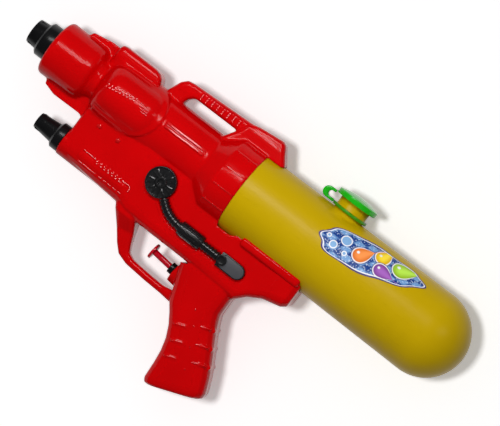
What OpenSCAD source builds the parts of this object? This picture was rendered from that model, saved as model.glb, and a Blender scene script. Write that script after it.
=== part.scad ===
// Toy water squirter lying on its side: two moulded casing halves, a rear water tank with a
// tethered filler stopper, two nozzles and a trigger pump with its valves and hoses inside.
// Sizes are in millimetres. The design frame has its X axis along the bore, pointing rearward,
// with x = 0 on the seam between casing and tank, Y toward the carry handle and Z across.

/* [Casing] */
// Wall of the moulded shell
wall = 2.2; // [1.6:0.1:2.6]
// Half width across the flat sides of the lower body
side_half = 19; // [17:0.5:21]
// Gap left round pieces that drop into the shell
fit_gap = 0.25; // [0.15:0.05:0.35]
// Half thickness of the fins on the parting plane
fin_half = 4; // [2.5:0.5:5]
// Depth of the recess that holds the side trim
trim_sink = 1.2; // [0.6:0.1:1.4]

/* [Barrel and pods] */
// Radius of the front barrel
barrel_r = 22.7; // [21:0.1:25]
// Length of the front barrel
barrel_len = 40; // [34:1:50]
// Rounding of the barrel's front rim
barrel_rim = 3; // [1:0.5:5]
// Rounding of the barrel's rear edge
barrel_heel = 8; // [6:0.5:10]
// Radius of the groove behind the barrel
groove_r = 20; // [18:0.5:21]
// Length of the groove behind the barrel
groove_len = 6; // [4:0.5:9]
// Rounding of the front edge of pods and receiver
pod_heel = 6; // [4:0.5:8]
// Radius of the side pods' flange about the bore
pod_r = 25.8; // [25.2:0.1:27]
// Length of the pods ahead of the centre of their round end
pod_len = 31.5; // [28:0.5:40]
// Radius of the pods' round rear end, seen from the side
pod_end_r = 24.5; // [21:0.5:26]
// Height of the centre of that round end above the bore
pod_end_rise = 4.3; // [2:0.1:8]
// Radius of the bulge on each pod
bulge_r = 20; // [16:0.5:22]
// Height of the bulge over the bore's axis
bulge_h = 28.8; // [27.5:0.1:30]
// Length of the bulge
bulge_len = 64; // [58:1:68]
// Height of the flat crest over the pods, above the bore
crest_h = 33; // [31:0.5:36]
// Half width of the crest
crest_half = 12; // [9:0.5:14]

/* [Receiver and collar] */
// Radius of the receiver between pods and collar
receiver_r = 24.5; // [23.5:0.1:26]
// Length of the receiver
receiver_len = 99; // [94:1:106]
// Length of the cone from receiver to collar
shoulder_len = 14; // [10:1:18]
// Radius of the collar round the tank's front
collar_r = 33.4; // [32.6:0.1:35]
// Length of the collar
collar_len = 20; // [16:1:24]
// Number of flats between ribs round the collar
collar_ribs = 14; // [10:1:18]
// Height of the collar's ribs
rib_h = 0.5; // [0.3:0.1:0.8]
// Length of the twin rails on the receiver
rail_len = 35; // [28:1:38]
// Thickness of the bulkhead that holds the tank's neck
bulkhead_t = 2; // [1.5:0.1:3]

/* [Lower body] */
// Depth of the lower tube's axis below the bore
tube_drop = 51; // [48:0.5:53]
// Radius of the lower tube
tube_r = 11.7; // [11:0.1:13]
// Distance from the seam to the lower tube's mouth
tube_reach = 131; // [125:1:138]
// Depth of the top of the finger opening below the bore
opening_top = 66; // [65:0.5:70]
// Length of the tail under the tank, from the seam
tail_len = 78; // [72:1:86]
// Depth of the tail's underside below the bore
tail_drop = 50; // [48:0.5:52]
// Half width of the tail's saddle
tail_half = 20.5; // [19.5:0.5:22]

/* [Trigger guard] */
// Depth of the guard's underside below the bore
guard_drop = 97.5; // [95:0.5:101]
// Thickness of the guard's lower strip
guard_strip = 6; // [5:0.5:8]
// Half width of the guard's strip
guard_half = 6; // [4.5:0.5:8]
// Distance from the seam to the front of the finger opening
opening_reach = 49.7; // [46:0.1:53]

/* [Grip] */
// Length of the grip below the guard, along its lean
grip_len = 64; // [58:1:72]
// Depth of the grip from front to back at its root
grip_depth = 39.7; // [37:0.1:43]
// Depth of the hollow in the grip's front
grip_hollow = 5.2; // [3:0.1:7]
// Extra depth of the grip at its heel
grip_flare = 5.8; // [3:0.1:8]
// Lean of the grip from the square
grip_lean = 21; // [17:1:25]
// Half width of the grip
grip_half = 17; // [15:0.5:18.5]
// Rounding of the grip's edges
grip_round = 9; // [6:0.5:11]
// Spacing of the ridges on the grip's sides
ridge_pitch = 12.3; // [10:0.1:14]
// Height of those ridges
ridge_h = 0.7; // [0.4:0.1:1]

/* [Carry handle] */
// Length of the hand slot
slot_len = 43; // [38:1:48]
// Distance from the seam to the slot's rear top corner
slot_rear = 31; // [28:1:34]
// Height of the handle bar's underside above the bore
bar_under = 33; // [31:0.5:36]
// Thickness of the handle bar
bar_t = 8.5; // [7:0.5:11]
// Half width of the handle
handle_half = 8; // [6:0.5:10]
// Number of ribs along the handle bar
bar_ribs = 8; // [5:1:9]
// Height of the rear lug above the bore
lug_h = 47.5; // [45:0.5:51]
// Overhang of the rear lug over the tank
lug_over = 14; // [11:1:18]
// Half width of the rear lug
lug_half = 10; // [8.5:0.5:12]

/* [Tank] */
// Radius of the tank at its shoulder
tank_r = 32.5; // [31.8:0.1:33.2]
// Radius of the tank before its dome
tank_rear_r = 33.8; // [32.8:0.1:35]
// Length of the tank behind the seam
tank_len = 203; // [185:1:215]
// Wall of the tank
tank_wall = 1.8; // [1.4:0.1:2.4]
// Outer radius of the tank's outlet neck
outlet_r = 9; // [8.5:0.1:10.5]
// Bore radius of the outlet neck
outlet_bore = 6.5; // [6:0.1:7]
// Length of the outlet neck ahead of the tank's front wall
outlet_len = 10; // [9:0.5:13]

/* [Filler and stopper] */
// Distance of the filler's axis behind the seam
filler_x = 72; // [66:1:80]
// Outer radius of the filler neck
filler_r = 12.5; // [11.5:0.1:13.5]
// Bore radius of the filler neck
filler_bore = 10.5; // [9.5:0.1:11]
// Height of the filler's mouth above the bore line
filler_h = 42.5; // [41:0.5:46]
// Radius of the stopper's disc
stopper_r = 17; // [15.5:0.5:19]
// Thickness of the stopper's disc
stopper_t = 6.5; // [5.5:0.5:8]
// Depth of the stopper's plug
plug_len = 9; // [7:0.5:11]
// Wall of the stopper's plug
plug_wall = 1.1; // [0.8:0.1:1.6]
// Running clearance of the plug in the neck
plug_gap = 0.2; // [0.1:0.05:0.3]
// Outer radius of the ring that holds the strap
ring_r = 15; // [14.2:0.1:16]
// Thickness of that ring
ring_t = 2.4; // [1.8:0.1:3]
// Thickness of the strap
strap_t = 2.2; // [1.4:0.1:2.6]
// Half width of the strap
strap_half = 3.5; // [2.5:0.5:5]
// Reach of the strap's loop ahead of the ring
strap_reach = 11.5; // [10:0.5:14]
// Extra thickness of the strap at its bend
strap_swell = 2.4; // [1:0.1:3]

/* [Nozzles] */
// Length of the upper nozzle's tip
upper_tip_len = 9; // [7:0.5:13]
// Radius of the upper nozzle's tip at its mouth
upper_tip_r = 9.9; // [9:0.1:11]
// Radius of the upper nozzle's flange
upper_flange_r = 14; // [12.5:0.5:16]
// Length of the upper nozzle's flange
upper_flange_len = 11; // [8:0.5:13]
// Length of the lower nozzle's tip
lower_tip_len = 17; // [13:0.5:20]
// Radius of the lower nozzle's tip at its mouth
lower_tip_r = 6.3; // [5.5:0.1:7]
// Radius of the lower nozzle's flange
lower_flange_r = 10.8; // [9.5:0.1:11]
// Length of the lower nozzle's flange
lower_flange_len = 8; // [6:0.5:10]
// Number of ridges along each nozzle's tip
nozzle_ridges = 8; // [6:1:12]
// Radius of the jet bores
jet_r = 1.1; // [0.8:0.1:1.3]

/* [Trigger and pump] */
// Depth of the trigger's axis below the bore, at the casing wall
pump_drop = 77.9; // [76:0.1:80]
// Distance of that point ahead of the seam
pump_front = 5; // [4:0.5:7]
// Slope of the trigger's axis, down to the rear
pump_tilt = 5.5; // [3:0.5:7]
// Radius of the trigger's head
trigger_r = 6.35; // [5.5:0.05:7.5]
// Thickness of the trigger's head
trigger_t = 2; // [1.5:0.5:3]
// Length of rod that shows in front of the bush
trigger_show = 16; // [15:0.5:18]
// Radius of the trigger's rod
rod_r = 2.4; // [2:0.1:2.8]
// Running clearance of rod and piston
run_gap = 0.05; // [0.02:0.01:0.09]
// Travel of the trigger
trigger_travel = 13; // [9:0.5:13]
// Outer radius of the black bush
bush_r = 4.5; // [4.2:0.1:5.5]
// Length of the bush in front of the casing
bush_len = 4; // [3:0.5:5]
// Bore radius of the pump
pump_bore = 5; // [4.6:0.1:5.4]
// Wall of the pump
pump_wall = 1.5; // [1.2:0.1:1.8]
// Length of the pump's cylinder
pump_len = 38.7; // [36:0.1:39.5]
// Length of the piston
piston_len = 6; // [5:0.5:7]
// Radius of the return spring's wire
wire_r = 0.45; // [0.35:0.05:0.6]
// Turns of the return spring
spring_turns = 8; // [6:1:10]
// Radius of the valve housings
valve_r = 4.1; // [3.9:0.1:4.2]
// Radius of the valve balls
ball_r = 2.4; // [2:0.1:2.5]
// Lift of the valve balls
ball_lift = 1.5; // [1:0.1:2]

/* [Hoses] */
// Outer radius of the hoses
hose_r = 2.6; // [2.4:0.1:3]
// Bore radius of the hoses
hose_bore = 1.95; // [1.8:0.05:2]
// Length of each hose barb
barb_len = 4.5; // [3.5:0.5:5]
// Radius of the hoses' bends, on the centre line
bend_r = 6; // [5:0.5:8]

/* [Side trim] */
// Distance of the dial's centre ahead of the seam
dial_front = 50.7; // [48:0.1:54]
// Depth of the dial's centre below the bore
dial_drop = 30.3; // [29:0.1:33]
// Radius of the dial
dial_r = 12; // [10.5:0.5:13]
// Height of the dial above the casing's side
dial_h = 4; // [3:0.5:5]
// Number of the dial's facets
dial_facets = 14; // [10:1:18]
// Radius of the ribbed hose over its ribs
trim_r = 3.8; // [3.4:0.1:4.2]
// Depth of the grooves between ribs
trim_rib = 0.6; // [0.4:0.05:0.8]
// Pitch of the ribs
trim_pitch = 2.9; // [2.4:0.1:3.6]
// Depth below the bore where the hose's straight run starts
trim_drop = 48; // [46.5:0.1:49]
// Slope of that straight run, down to the rear
trim_tilt = 0.5; // [0.2:0.1:2]
// Radius of the sleeve on the hose
sleeve_r = 5.6; // [5:0.1:6]
// Length of the sleeve
sleeve_len = 20; // [17:0.5:22]
// Length of the end plate
plate_len = 22.5; // [19:0.5:26]
// Half height of the end plate
plate_half = 5.8; // [5:0.1:6.2]

/* [Screws] */
// Radius of the screw bosses
boss_r = 3.5; // [3.2:0.1:4]
// Radius of the screw heads
head_r = 2.8; // [2.5:0.1:2.9]
// Height of the screw heads
head_h = 1.8; // [1.4:0.1:2.2]
// Radius of the screw shanks
shank_r = 1.3; // [1:0.05:1.5]
// Length of the screw shanks
shank_len = 13; // [11:0.5:14]
// Depth of the screws' seats from the parting plane
seat_z = 6; // [5:0.5:6.5]

/* [Hidden] */
$fn = 48;
red = [0.8, 0.02, 0.03];
black = [0.1, 0.1, 0.1];
yellow = [0.85, 0.7, 0.02];
green = [0.05, 0.65, 0.1];
clear = [0.85, 0.88, 0.9];
steel = [0.75, 0.76, 0.78];
far = 400;
eps = 0.01;

// Stations along the bore, from the seam forward
shoulder_x = -collar_len;
receiver_x = shoulder_x - shoulder_len;
groove_x = receiver_x - receiver_len;
barrel_x = groove_x - groove_len;
muzzle_x = barrel_x - barrel_len;
pod_x = groove_x + pod_len;
nozzle_tip_x = muzzle_x - upper_flange_len - upper_tip_len;
bulkhead_x = shoulder_x - bulkhead_t;
spigot_r = collar_r - wall - fit_gap;
spigot_x = shoulder_x + fit_gap;
dome_len = tank_rear_r;

// The row's origin lies below the middle of the box, on the surface that the toy lies on
mid_x = (nozzle_tip_x + tank_len) / 2;
grip_root = [5, -guard_drop + 0.5];
heel_y = grip_root.y - grip_len * cos(grip_lean) + 1.6;
mid_y = (max(lug_h, filler_h + fit_gap + stopper_t) + heel_y) / 2;
lift_z = tank_rear_r;
module place() { translate([-mid_x, -mid_y, lift_z]) children(); }
module along_x() { rotate([0, 90, 0]) children(); }
module along_y() { rotate([-90, 0, 0]) children(); }
module rod_x(x0, x1, r) { translate([x0, 0, 0]) along_x() cylinder(h = x1 - x0, r = r); }

// Rings of a rounded box, 4 points to a corner, in the plane of a front point, a rear point and Z
function box_ring(hs, hh, c) = [for (q = [[1, 1, 0], [-1, 1, 90], [-1, -1, 180], [1, -1, 270]])
  for (a = [0:30:90]) [q[0] * (hs - c) + c * cos(q[2] + a), q[1] * (hh - c) + c * sin(q[2] + a)]];
function band(f, r, half, round_r, inset = 0) = let(
    run = norm(r - f),
    e = (r - f) / run,
    m = (f + r) / 2,
    hs = run / 2 - inset,
    hh = half - inset,
    c = min(max(round_r - inset, 0.5), hs - 0.1, hh - 0.1))
  [for (q = box_ring(hs, hh, c)) [m.x + e.x * q.x, m.y + e.y * q.x, q.y]];
function volume6(p, faces) = [for (f = faces) for (i = [1:len(f) - 2])
  p[f[0]] * cross(p[f[i]], p[f[i + 1]])] * [for (f = faces) for (i = [1:len(f) - 2]) 1];
function flipped(faces) = [for (f = faces) [for (i = [len(f) - 1:-1:0]) f[i]]];

// A closed skin over rings of equal count, with flat end faces
module skin(rings) {
  n = len(rings[0]);
  m = len(rings);
  points = [for (r = rings) each r];
  sides = [for (i = [0:m - 2]) for (j = [0:n - 1])
    let(a = i * n + j, b = i * n + (j + 1) % n) each [[a, b, b + n], [a, b + n, a + n]]];
  ends = [[for (j = [n - 1:-1:0]) j], [for (j = [0:n - 1]) (m - 1) * n + j]];
  faces = concat(sides, ends);
  polyhedron(points, volume6(points, faces) > 0 ? flipped(faces) : faces);
}

// A round tube along points in the XY plane, with round bends that lap the straights a little
bend_lap = 0.6;
bend_swell = 0.04;
module tube(path, r, bend) {
  last = len(path) - 1;
  trim = [for (i = [0:last]) i == 0 || i == last ? 0
    : let(u = path[i] - path[i - 1], v = path[i + 1] - path[i])
      bend * tan(acos((u * v) / norm(u) / norm(v)) / 2)];
  for (i = [0:last - 1]) {
    d = path[i + 1] - path[i];
    e = d / norm(d);
    a = path[i] + e * trim[i];
    translate([a.x, a.y, 0]) rotate([0, 0, atan2(e.y, e.x)])
      along_x() cylinder(h = norm(d) - trim[i] - trim[i + 1], r = r);
  }
  for (i = [1:1:last - 1]) {
    u = (path[i] - path[i - 1]) / norm(path[i] - path[i - 1]);
    v = (path[i + 1] - path[i]) / norm(path[i + 1] - path[i]);
    turn = u.x * v.y - u.y * v.x;
    side = turn > 0 ? 1 : -1;
    a = path[i] - u * trim[i];
    c = a + side * bend * [-u.y, u.x];
    start = atan2(a.y - c.y, a.x - c.x);
    sweep = side * acos(u * v);
    translate([c.x, c.y, 0]) rotate([0, 0, min(start, start + sweep) - bend_lap])
      rotate_extrude(angle = abs(sweep) + 2 * bend_lap) translate([bend, 0]) circle(r = r + bend_swell);
  }
}
module hose(path) {
  last = len(path) - 1;
  a = (path[0] - path[1]) / norm(path[0] - path[1]);
  b = (path[last] - path[last - 1]) / norm(path[last] - path[last - 1]);
  longer = [for (i = [0:last]) i == 0 ? path[0] + a : i == last ? path[last] + b : path[i]];
  difference() {
    tube(path, hose_r, bend_r);
    tube(longer, hose_bore, bend_r);
  }
}

// Casing forms, each drawn at its outside or set in by the wall

// Half profile of a cylinder behind the groove, with a round front edge
module rounded_front(r, len, inset) {
  translate([0, groove_x + inset]) square([r - pod_heel, len - inset]);
  translate([0, groove_x + pod_heel]) square([r - inset, len - pod_heel]);
  translate([r - pod_heel, groove_x + pod_heel]) circle(r = pod_heel - inset);
}
// Barrel, groove, receiver, shoulder and collar, turned about the bore
module bore_profile(inset) {
  r = barrel_r - inset;
  rim = max(barrel_rim - inset, 0.5);
  translate([0, muzzle_x + inset]) square([r - rim, rim + eps]);
  translate([r - rim, muzzle_x + inset + rim]) circle(r = rim);
  translate([0, muzzle_x + inset + rim]) square([r, barrel_len - inset - rim - barrel_heel]);
  translate([barrel_r - barrel_heel, barrel_x - barrel_heel]) circle(r = barrel_heel - inset);
  translate([0, barrel_x - barrel_heel - eps]) square([barrel_r - barrel_heel, barrel_heel - inset + eps]);
  translate([0, barrel_x - 3 * inset - eps]) square([groove_r - inset, groove_len + 6 * inset + 2 * eps]);
  rounded_front(receiver_r, receiver_len, inset);
  polygon([[0, receiver_x - eps], [receiver_r - inset, receiver_x - eps], [receiver_r - inset, receiver_x],
    [collar_r - inset, shoulder_x], [0, shoulder_x]]);
  translate([0, shoulder_x - eps]) square([collar_r - inset, collar_len + eps + inset]);
}
module bore_form(inset) { along_x() rotate_extrude() bore_profile(inset); }

// Side pod: a flange on a larger cylinder, inside an outline with a round rear end
module pod_form() {
  intersection() {
    along_x() rotate_extrude() rounded_front(pod_r, pod_x + pod_end_r - groove_x, 0);
    translate([0, 0, -far / 2]) linear_extrude(far) {
      translate([groove_x, pod_end_rise - pod_end_r]) square([pod_len, 2 * pod_end_r]);
      translate([pod_x, pod_end_rise]) circle(r = pod_end_r);
    }
  }
}
// Bulge on the pod: a round-ended bar sunk into the flange
bulge_x = groove_x + 16.5;
bulge_y = 1.5;
module bulge_form(inset) {
  translate([0, bulge_y, bulge_h - bulge_r]) {
    rod_x(bulge_x, bulge_x + bulge_len - 2 * bulge_r, bulge_r - inset);
    for (x = [0, bulge_len - 2 * bulge_r]) translate([bulge_x + x, 0, 0]) sphere(r = bulge_r - inset);
  }
}

// Lower body from the tube's rear to the tail, in cross-sections along the bore
body_top = 2;
body_front = -tube_reach + 1;
guard_x = -opening_reach - 22;
function body_rows(inset) = [
  [body_front - 0.5 + inset, body_top - 3, tube_drop + 6, tube_r - 3, 6],
  [body_front + 1 + inset, body_top, tube_drop + 9, tube_r - 0.6, 8],
  [guard_x, body_top, tube_drop + tube_r + 0.5, side_half, 11],
  [guard_x + 10, body_top, opening_top, side_half, 9],
  [grip_root.x - 8, body_top, opening_top, side_half, 7],
  [grip_root.x + 37, body_top, opening_top + 2, side_half, 7],
  [grip_root.x + 45, body_top, (opening_top + tail_drop) / 2 + 1.5, side_half + 0.4, 7],
  [tail_len - 18, body_top, tail_drop + 3.5, tail_half, 7],
  [tail_len - 4 - inset / 2, body_top, tail_drop, tail_half, 7],
  [tail_len - inset, body_top - 3, tail_drop - 3, tail_half - 2.5, 6]];
module body_form(inset) {
  skin([for (q = body_rows(inset)) band([q[0], q[1]], [q[0], -q[2]], q[3], q[4], inset)]);
}
module tube_form(inset) {
  translate([0, -tube_drop, 0]) rod_x(-tube_reach + inset, guard_x, tube_r - inset);
}

// Trigger guard: a strip from the body's underside round to the grip
guard_in = guard_drop - guard_strip;
guard_rows = [
  [[-opening_reach - 24, -opening_top + 8], [-opening_reach - 3, -opening_top + 8], side_half - 2.5, 6],
  [[-opening_reach - 18.8, -opening_top - 0.5], [-opening_reach, -opening_top], side_half - 3, 5],
  [[-opening_reach - 10.3, -opening_top - 11.7], [-opening_reach + 3.7, -opening_top - 9], guard_half + 2, 3],
  [[-opening_reach - 3.3, -guard_drop + 10.5], [-opening_reach + 7.2, -guard_in + 7.5], guard_half + 0.5, 2.8],
  [[-opening_reach + 2.7, -guard_drop + 4.5], [-opening_reach + 9.7, -guard_in + 3.5], guard_half, 2.6],
  [[-opening_reach + 11.7, -guard_drop + 1.7], [-opening_reach + 14.7, -guard_in + 1.5], guard_half, 2.6],
  [[-opening_reach + 29.7, -guard_drop + 0.5], [-opening_reach + 29.7, -guard_in + 0.5], guard_half, 2.6],
  [[grip_root.x - 9, -guard_drop], [grip_root.x - 11, -guard_in], guard_half, 2.6],
  [[grip_root.x + 3, -guard_drop - 1], [grip_root.x + 3, -guard_in + 3], guard_half + 2, 3]];
module guard_form() { skin([for (q = guard_rows) band(q[0], q[1], q[2], q[3])]); }

// Grip: cross-sections across its lean, with a hollow front and a flared heel
grip_down = [sin(grip_lean), -cos(grip_lean)];
grip_back = [cos(grip_lean), sin(grip_lean)];
function grip_at(t, s) = grip_root + t * grip_down + s * grip_back;
function grip_front(t) = t < 0 ? 0 : grip_hollow * sin(180 * t / (0.82 * grip_len));
function grip_rear(t) = t < 0 ? grip_depth - 0.35 * t
  : grip_depth + grip_flare * (1 - cos(180 * min(t / grip_len / 0.85, 1))) / 2;
grip_rows = [[-30, 0], [-12, 0], [0, 0], [8, 0], [17, 0], [27, 0], [37, 0], [46, 0], [54, 0],
  [grip_len - 5, 0], [grip_len - 1.5, 1.4], [grip_len, 4.6]];
module grip_form(inset) {
  skin([for (q = grip_rows)
    let(t = q[0] < 0 ? q[0] : q[0] == grip_len ? grip_len - inset : q[0] - inset * q[0] / grip_len)
    band(grip_at(t, grip_front(t) + q[1]), grip_at(t, grip_rear(t) - q[1]),
      grip_half - q[1] / 2, grip_round, inset)]);
}

// Carry handle, rear lug over the tank and crest over the pods
slot_front = -slot_rear - slot_len;
bar_top = bar_under + bar_t;
handle_rows = [
  [[slot_front - 18, 17], [slot_front - 3, 15]],
  [[slot_front - 16.5, bar_under - 6], [slot_front - 2, bar_under - 9]],
  [[slot_front - 12.5, bar_top - 5], [slot_front - 0.5, bar_under - 4]],
  [[slot_front - 8.5, bar_top - 1], [slot_front + 2.5, bar_under - 1]],
  [[slot_front - 3, bar_top], [slot_front + 5, bar_under]],
  [[-slot_rear + 9, bar_top + 2.5], [-slot_rear + 2, bar_under]],
  [[-slot_rear + 15, bar_top + 2.7], [-slot_rear + 11, bar_under]]];
module handle_form() { skin([for (q = handle_rows) band(q[0], q[1], handle_half, 3.4)]); }
lug_rows = [
  [[-slot_rear - 11, 14], [lug_over, 14], lug_half + 2.5],
  [[-slot_rear - 7.5, bar_under - 11.5], [lug_over, 24], lug_half + 1.2],
  [[-slot_rear, bar_under], [lug_over, bar_under], lug_half],
  [[-slot_rear + 3, bar_top - 0.5], [lug_over - 5, lug_h - 7.5], lug_half - 0.8],
  [[-slot_rear + 7, bar_top + 2.5], [lug_over - 9, lug_h - 1.5], lug_half - 1.8],
  [[-slot_rear + 11, bar_top + 3.7], [lug_over - 12, lug_h], lug_half - 4]];
module lug_form(inset) {
  skin([for (q = lug_rows)
    let(top = q == lug_rows[5], drop = top ? [0, -inset] : [0, 0])
    band(q[0] + drop, q[1] + drop, q[2], 3.4, inset)]);
}
crest_rows = [[18, 0, 0.5, 0.5], [crest_h - 8, 0, 0, 0], [crest_h - 3.5, 0.4, 2, 0.4], [crest_h - 1, 1.2, 5, 1.4],
  [crest_h, 3, 9, 3.4]];
module crest_form(inset) {
  skin([for (q = crest_rows)
    let(y = q[0] == crest_h ? crest_h - inset : q[0])
    band([groove_x - 5 + q[1], y], [pod_x + 5 - q[2], y], crest_half - q[3], 3.4, inset)]);
}

// Fins on the parting plane, over and under the barrel
module fins() {
  translate([0, 0, -fin_half]) linear_extrude(2 * fin_half) {
    polygon([[barrel_x - 25, barrel_r - 3], [barrel_x - 22, barrel_r + 3.4], [barrel_x - 6, barrel_r + 6.2],
      [barrel_x, barrel_r + 6.2], [barrel_x, barrel_r - 3]]);
    polygon([[barrel_x - 31, -barrel_r + 3], [barrel_x - 29, -barrel_r - 3.4], [barrel_x - 19, -barrel_r - 6.2],
      [barrel_x + 5, -barrel_r - 5.8], [body_front + 2, -barrel_r - 9], [body_front + 5, -barrel_r + 3]]);
  }
}

// Ribs along the collar and twin rails on the receiver
module collar_form() {
  for (i = [0:collar_ribs - 1]) rotate([360 * (i + 0.35) / collar_ribs, 0, 0])
    translate([shoulder_x, -0.45, collar_r - 1]) cube([collar_len - 0.6, 0.9, 1 + rib_h]);
  for (a = [10.9, 18.3]) rotate([-a, 0, 0])
    translate([receiver_x - rail_len - 4, -0.9, receiver_r - 1]) cube([rail_len, 1.8, 1.9]);
}

// Short ridges down the grip's side and round its back edge
bump_r = 1.8;
module ridge(t, s, run) {
  p = grip_at(t, s);
  translate([p.x, p.y, grip_half - 1]) rotate([0, 0, grip_lean]) cube([run, 1.4, 1 + ridge_h]);
}
module grip_ridges() {
  for (i = [0:2]) {
    front_t = 15 + ridge_pitch * i;
    rear_t = 12 + (ridge_pitch + 1.2) * i;
    back = grip_at(rear_t, grip_rear(rear_t) - bump_r + 0.3);
    ridge(front_t, grip_front(front_t) + grip_round - 3.5, 9.5);
    ridge(rear_t, grip_rear(rear_t) - grip_round - 0.5, 7.5);
    translate([back.x, back.y, 0]) cylinder(h = grip_half - 3.5, r = bump_r);
  }
}

// Ribs across the handle bar
module bar_details() {
  for (i = [0:bar_ribs - 1]) translate([slot_front + 7 + 4.8 * i, bar_under + 1.2 + 0.2 * i, handle_half - 1])
    cube([0.9, bar_t - 2.4, 1.6]);
}

// Raised panel with ribs along the lower tube, and two studs under the pod
function flank(x) = let(x0 = body_front + 1) tube_r - 0.6 + (side_half - tube_r + 0.6) * (x - x0) / (guard_x - x0);
flank_tilt = atan(flank(1) - flank(0));
pad_h = 0.7;
pad_x = guard_x - 42;
module flank_details() {
  skin([for (x = [pad_x, guard_x]) band([x, -tube_drop + 5.5], [x, -tube_drop - 5], flank(x) + pad_h, 4.5)]);
  for (i = [0:6]) let(x = pad_x + 14 + 3.6 * i)
    translate([x, -tube_drop + 1.4, flank(x) + pad_h - 0.6]) rotate([0, -flank_tilt, 0]) cube([1.2, 2.8, 1.1]);
  for (x = [pad_x, pad_x + 17.7]) translate([x, -tube_drop / 2, flank(x) - 0.4]) sphere(r = 1.7);
}

// Seat of the trigger's bush, on the pump's axis
module on_pump() { translate([-pump_front, -pump_drop, 0]) rotate([0, 0, -pump_tilt]) children(); }
bush_seat = 2.5;
spigot_bush_r = bush_r - 1;
pump_room = pump_bore + pump_wall + fit_gap;
module bush_boss() { on_pump() rod_x(-1, 14, pump_room + wall); }

module casing_outer() {
  bore_form(0);
  pod_form();
  body_form(0);
  tube_form(0);
  guard_form();
  grip_form(0);
  handle_form();
  lug_form(0);
  crest_form(0);
  fins();
  collar_form();
  bush_boss();
  bulge_form(0);
  grip_ridges();
  bar_details();
  flank_details();
}

// Screw positions on the parting plane
screws = [[body_front + 14, -tube_drop + 15], [-dial_front - 12, -tube_drop + 15], [tail_len - 15, -tail_drop + 7.5],
  grip_at(22, 24), grip_at(grip_len - 15, 24), [-6, lug_h - 8.5], [groove_x + 23, 17]];
module screw_posts(r, z0, h) {
  for (p = screws) translate([p.x, p.y, z0]) cylinder(h = h, r = r);
}

// Tank outside, grown by a clearance, over the length that the casing meets
module tank_profile(grow) {
  straight = tank_len - dome_len;
  polygon([[0, -grow], [tank_r + grow, -grow], [tank_r + grow, 0], [tank_rear_r + grow, straight],
    [0, straight]]);
}
module tank_room(grow) { along_x() rotate_extrude() tank_profile(grow); }

// Hollow of the casing, less the bosses, the bulkhead and the wall round the tank
module casing_hollow() {
  difference() {
    union() {
      bore_form(wall);
      bulge_form(wall);
      difference() {
        union() {
          body_form(wall);
          tube_form(wall);
          grip_form(wall);
        }
        rod_x(bulkhead_x, far, tank_rear_r + fit_gap + wall);
        bush_boss();
      }
      difference() {
        lug_form(wall);
        rod_x(receiver_x, far, collar_r + 1);
      }
    }
    screw_posts(boss_r, -far / 2, far);
    difference() {
      rod_x(bulkhead_x, shoulder_x, collar_r);
      rod_x(bulkhead_x - 1, shoulder_x + 1, outlet_r + fit_gap);
    }
  }
}

// Holes that both halves share on the parting plane
upper_neck_r = 8;
lower_neck_r = 5.5;
module shared_holes() {
  rod_x(muzzle_x - 1, muzzle_x + wall + 1, upper_neck_r + fit_gap);
  translate([0, -tube_drop, 0]) rod_x(-tube_reach - 1, -tube_reach + wall + 1, lower_neck_r + fit_gap);
  on_pump() rod_x(-2, bush_seat + 1, spigot_bush_r + fit_gap);
  on_pump() rod_x(bush_seat, pump_end + fit_gap, pump_room);
  tank_room(fit_gap);
}
module casing_half() {
  difference() {
    intersection() {
      casing_outer();
      translate([-far, -far, 0]) cube([2 * far, 2 * far, far]);
    }
    casing_hollow();
    shared_holes();
    lip_cut();
  }
}
// Dip in the saddle's lip behind the collar
module lip_cut() {
  translate([0, 0, tail_half - 9]) linear_extrude(far) polygon([[0.6, -20], [0.6, -tank_r + 2],
    [13, -tank_r + 2], [19, -tank_r + 6], [19, -20]]);
}

// Route of the side trim's hose: a bend from the dial, then a sloping straight to the end plate
dial_at = [-dial_front, -dial_drop];
run_start = [dial_at.x + 31.2, -trim_drop];
run_way = [cos(trim_tilt), -sin(trim_tilt)];
bend_start = dial_at + (dial_r + fit_gap) * [cos(43.5), -sin(43.5)];
bend_knee = run_start - 13 * run_way;
plate_at = sleeve_len + 16.8;
trim_z = side_half - trim_sink + fit_gap;
trim_lift = 2;
trim_axis = trim_z + trim_lift;
function bend_point(t) = (1 - t) * (1 - t) * bend_start + 2 * t * (1 - t) * bend_knee + t * t * run_start;
function bend_way(t) = let(d = (1 - t) * (bend_knee - bend_start) + t * (run_start - bend_knee)) d / norm(d);
function run_point(l) = run_start + l * run_way;
module on_run(z) { translate([run_start.x, run_start.y, z]) rotate([0, 0, -trim_tilt]) children(); }
plate_end = plate_at + plate_len - plate_half;
module trim_room() {
  room = trim_r + 0.5;
  side = [for (i = [0:8]) bend_way(i / 8)];
  translate([0, 0, side_half - trim_sink]) linear_extrude(far) {
    translate(dial_at) circle(r = dial_r + 0.4);
    polygon(concat([for (i = [0:8]) bend_point(i / 8) + room * [-side[i].y, side[i].x]],
      [for (i = [8:-1:0]) bend_point(i / 8) - room * [-side[i].y, side[i].x]]));
    translate(run_start) rotate(-trim_tilt) {
      translate([-0.2, -room]) square([plate_at + 1, 2 * room]);
      translate([-0.4, -sleeve_r - 0.5]) square([sleeve_len + 0.8, 2 * sleeve_r + 1]);
      translate([plate_at - 0.4, -plate_half - 0.4]) square([plate_end - plate_at + 0.4, 2 * plate_half + 0.8]);
      translate([plate_end, 0]) circle(r = plate_half + 0.4);
    }
  }
}
peg_r = 1.8;
peg_at = [dial_at, run_point(plate_end)];

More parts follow.
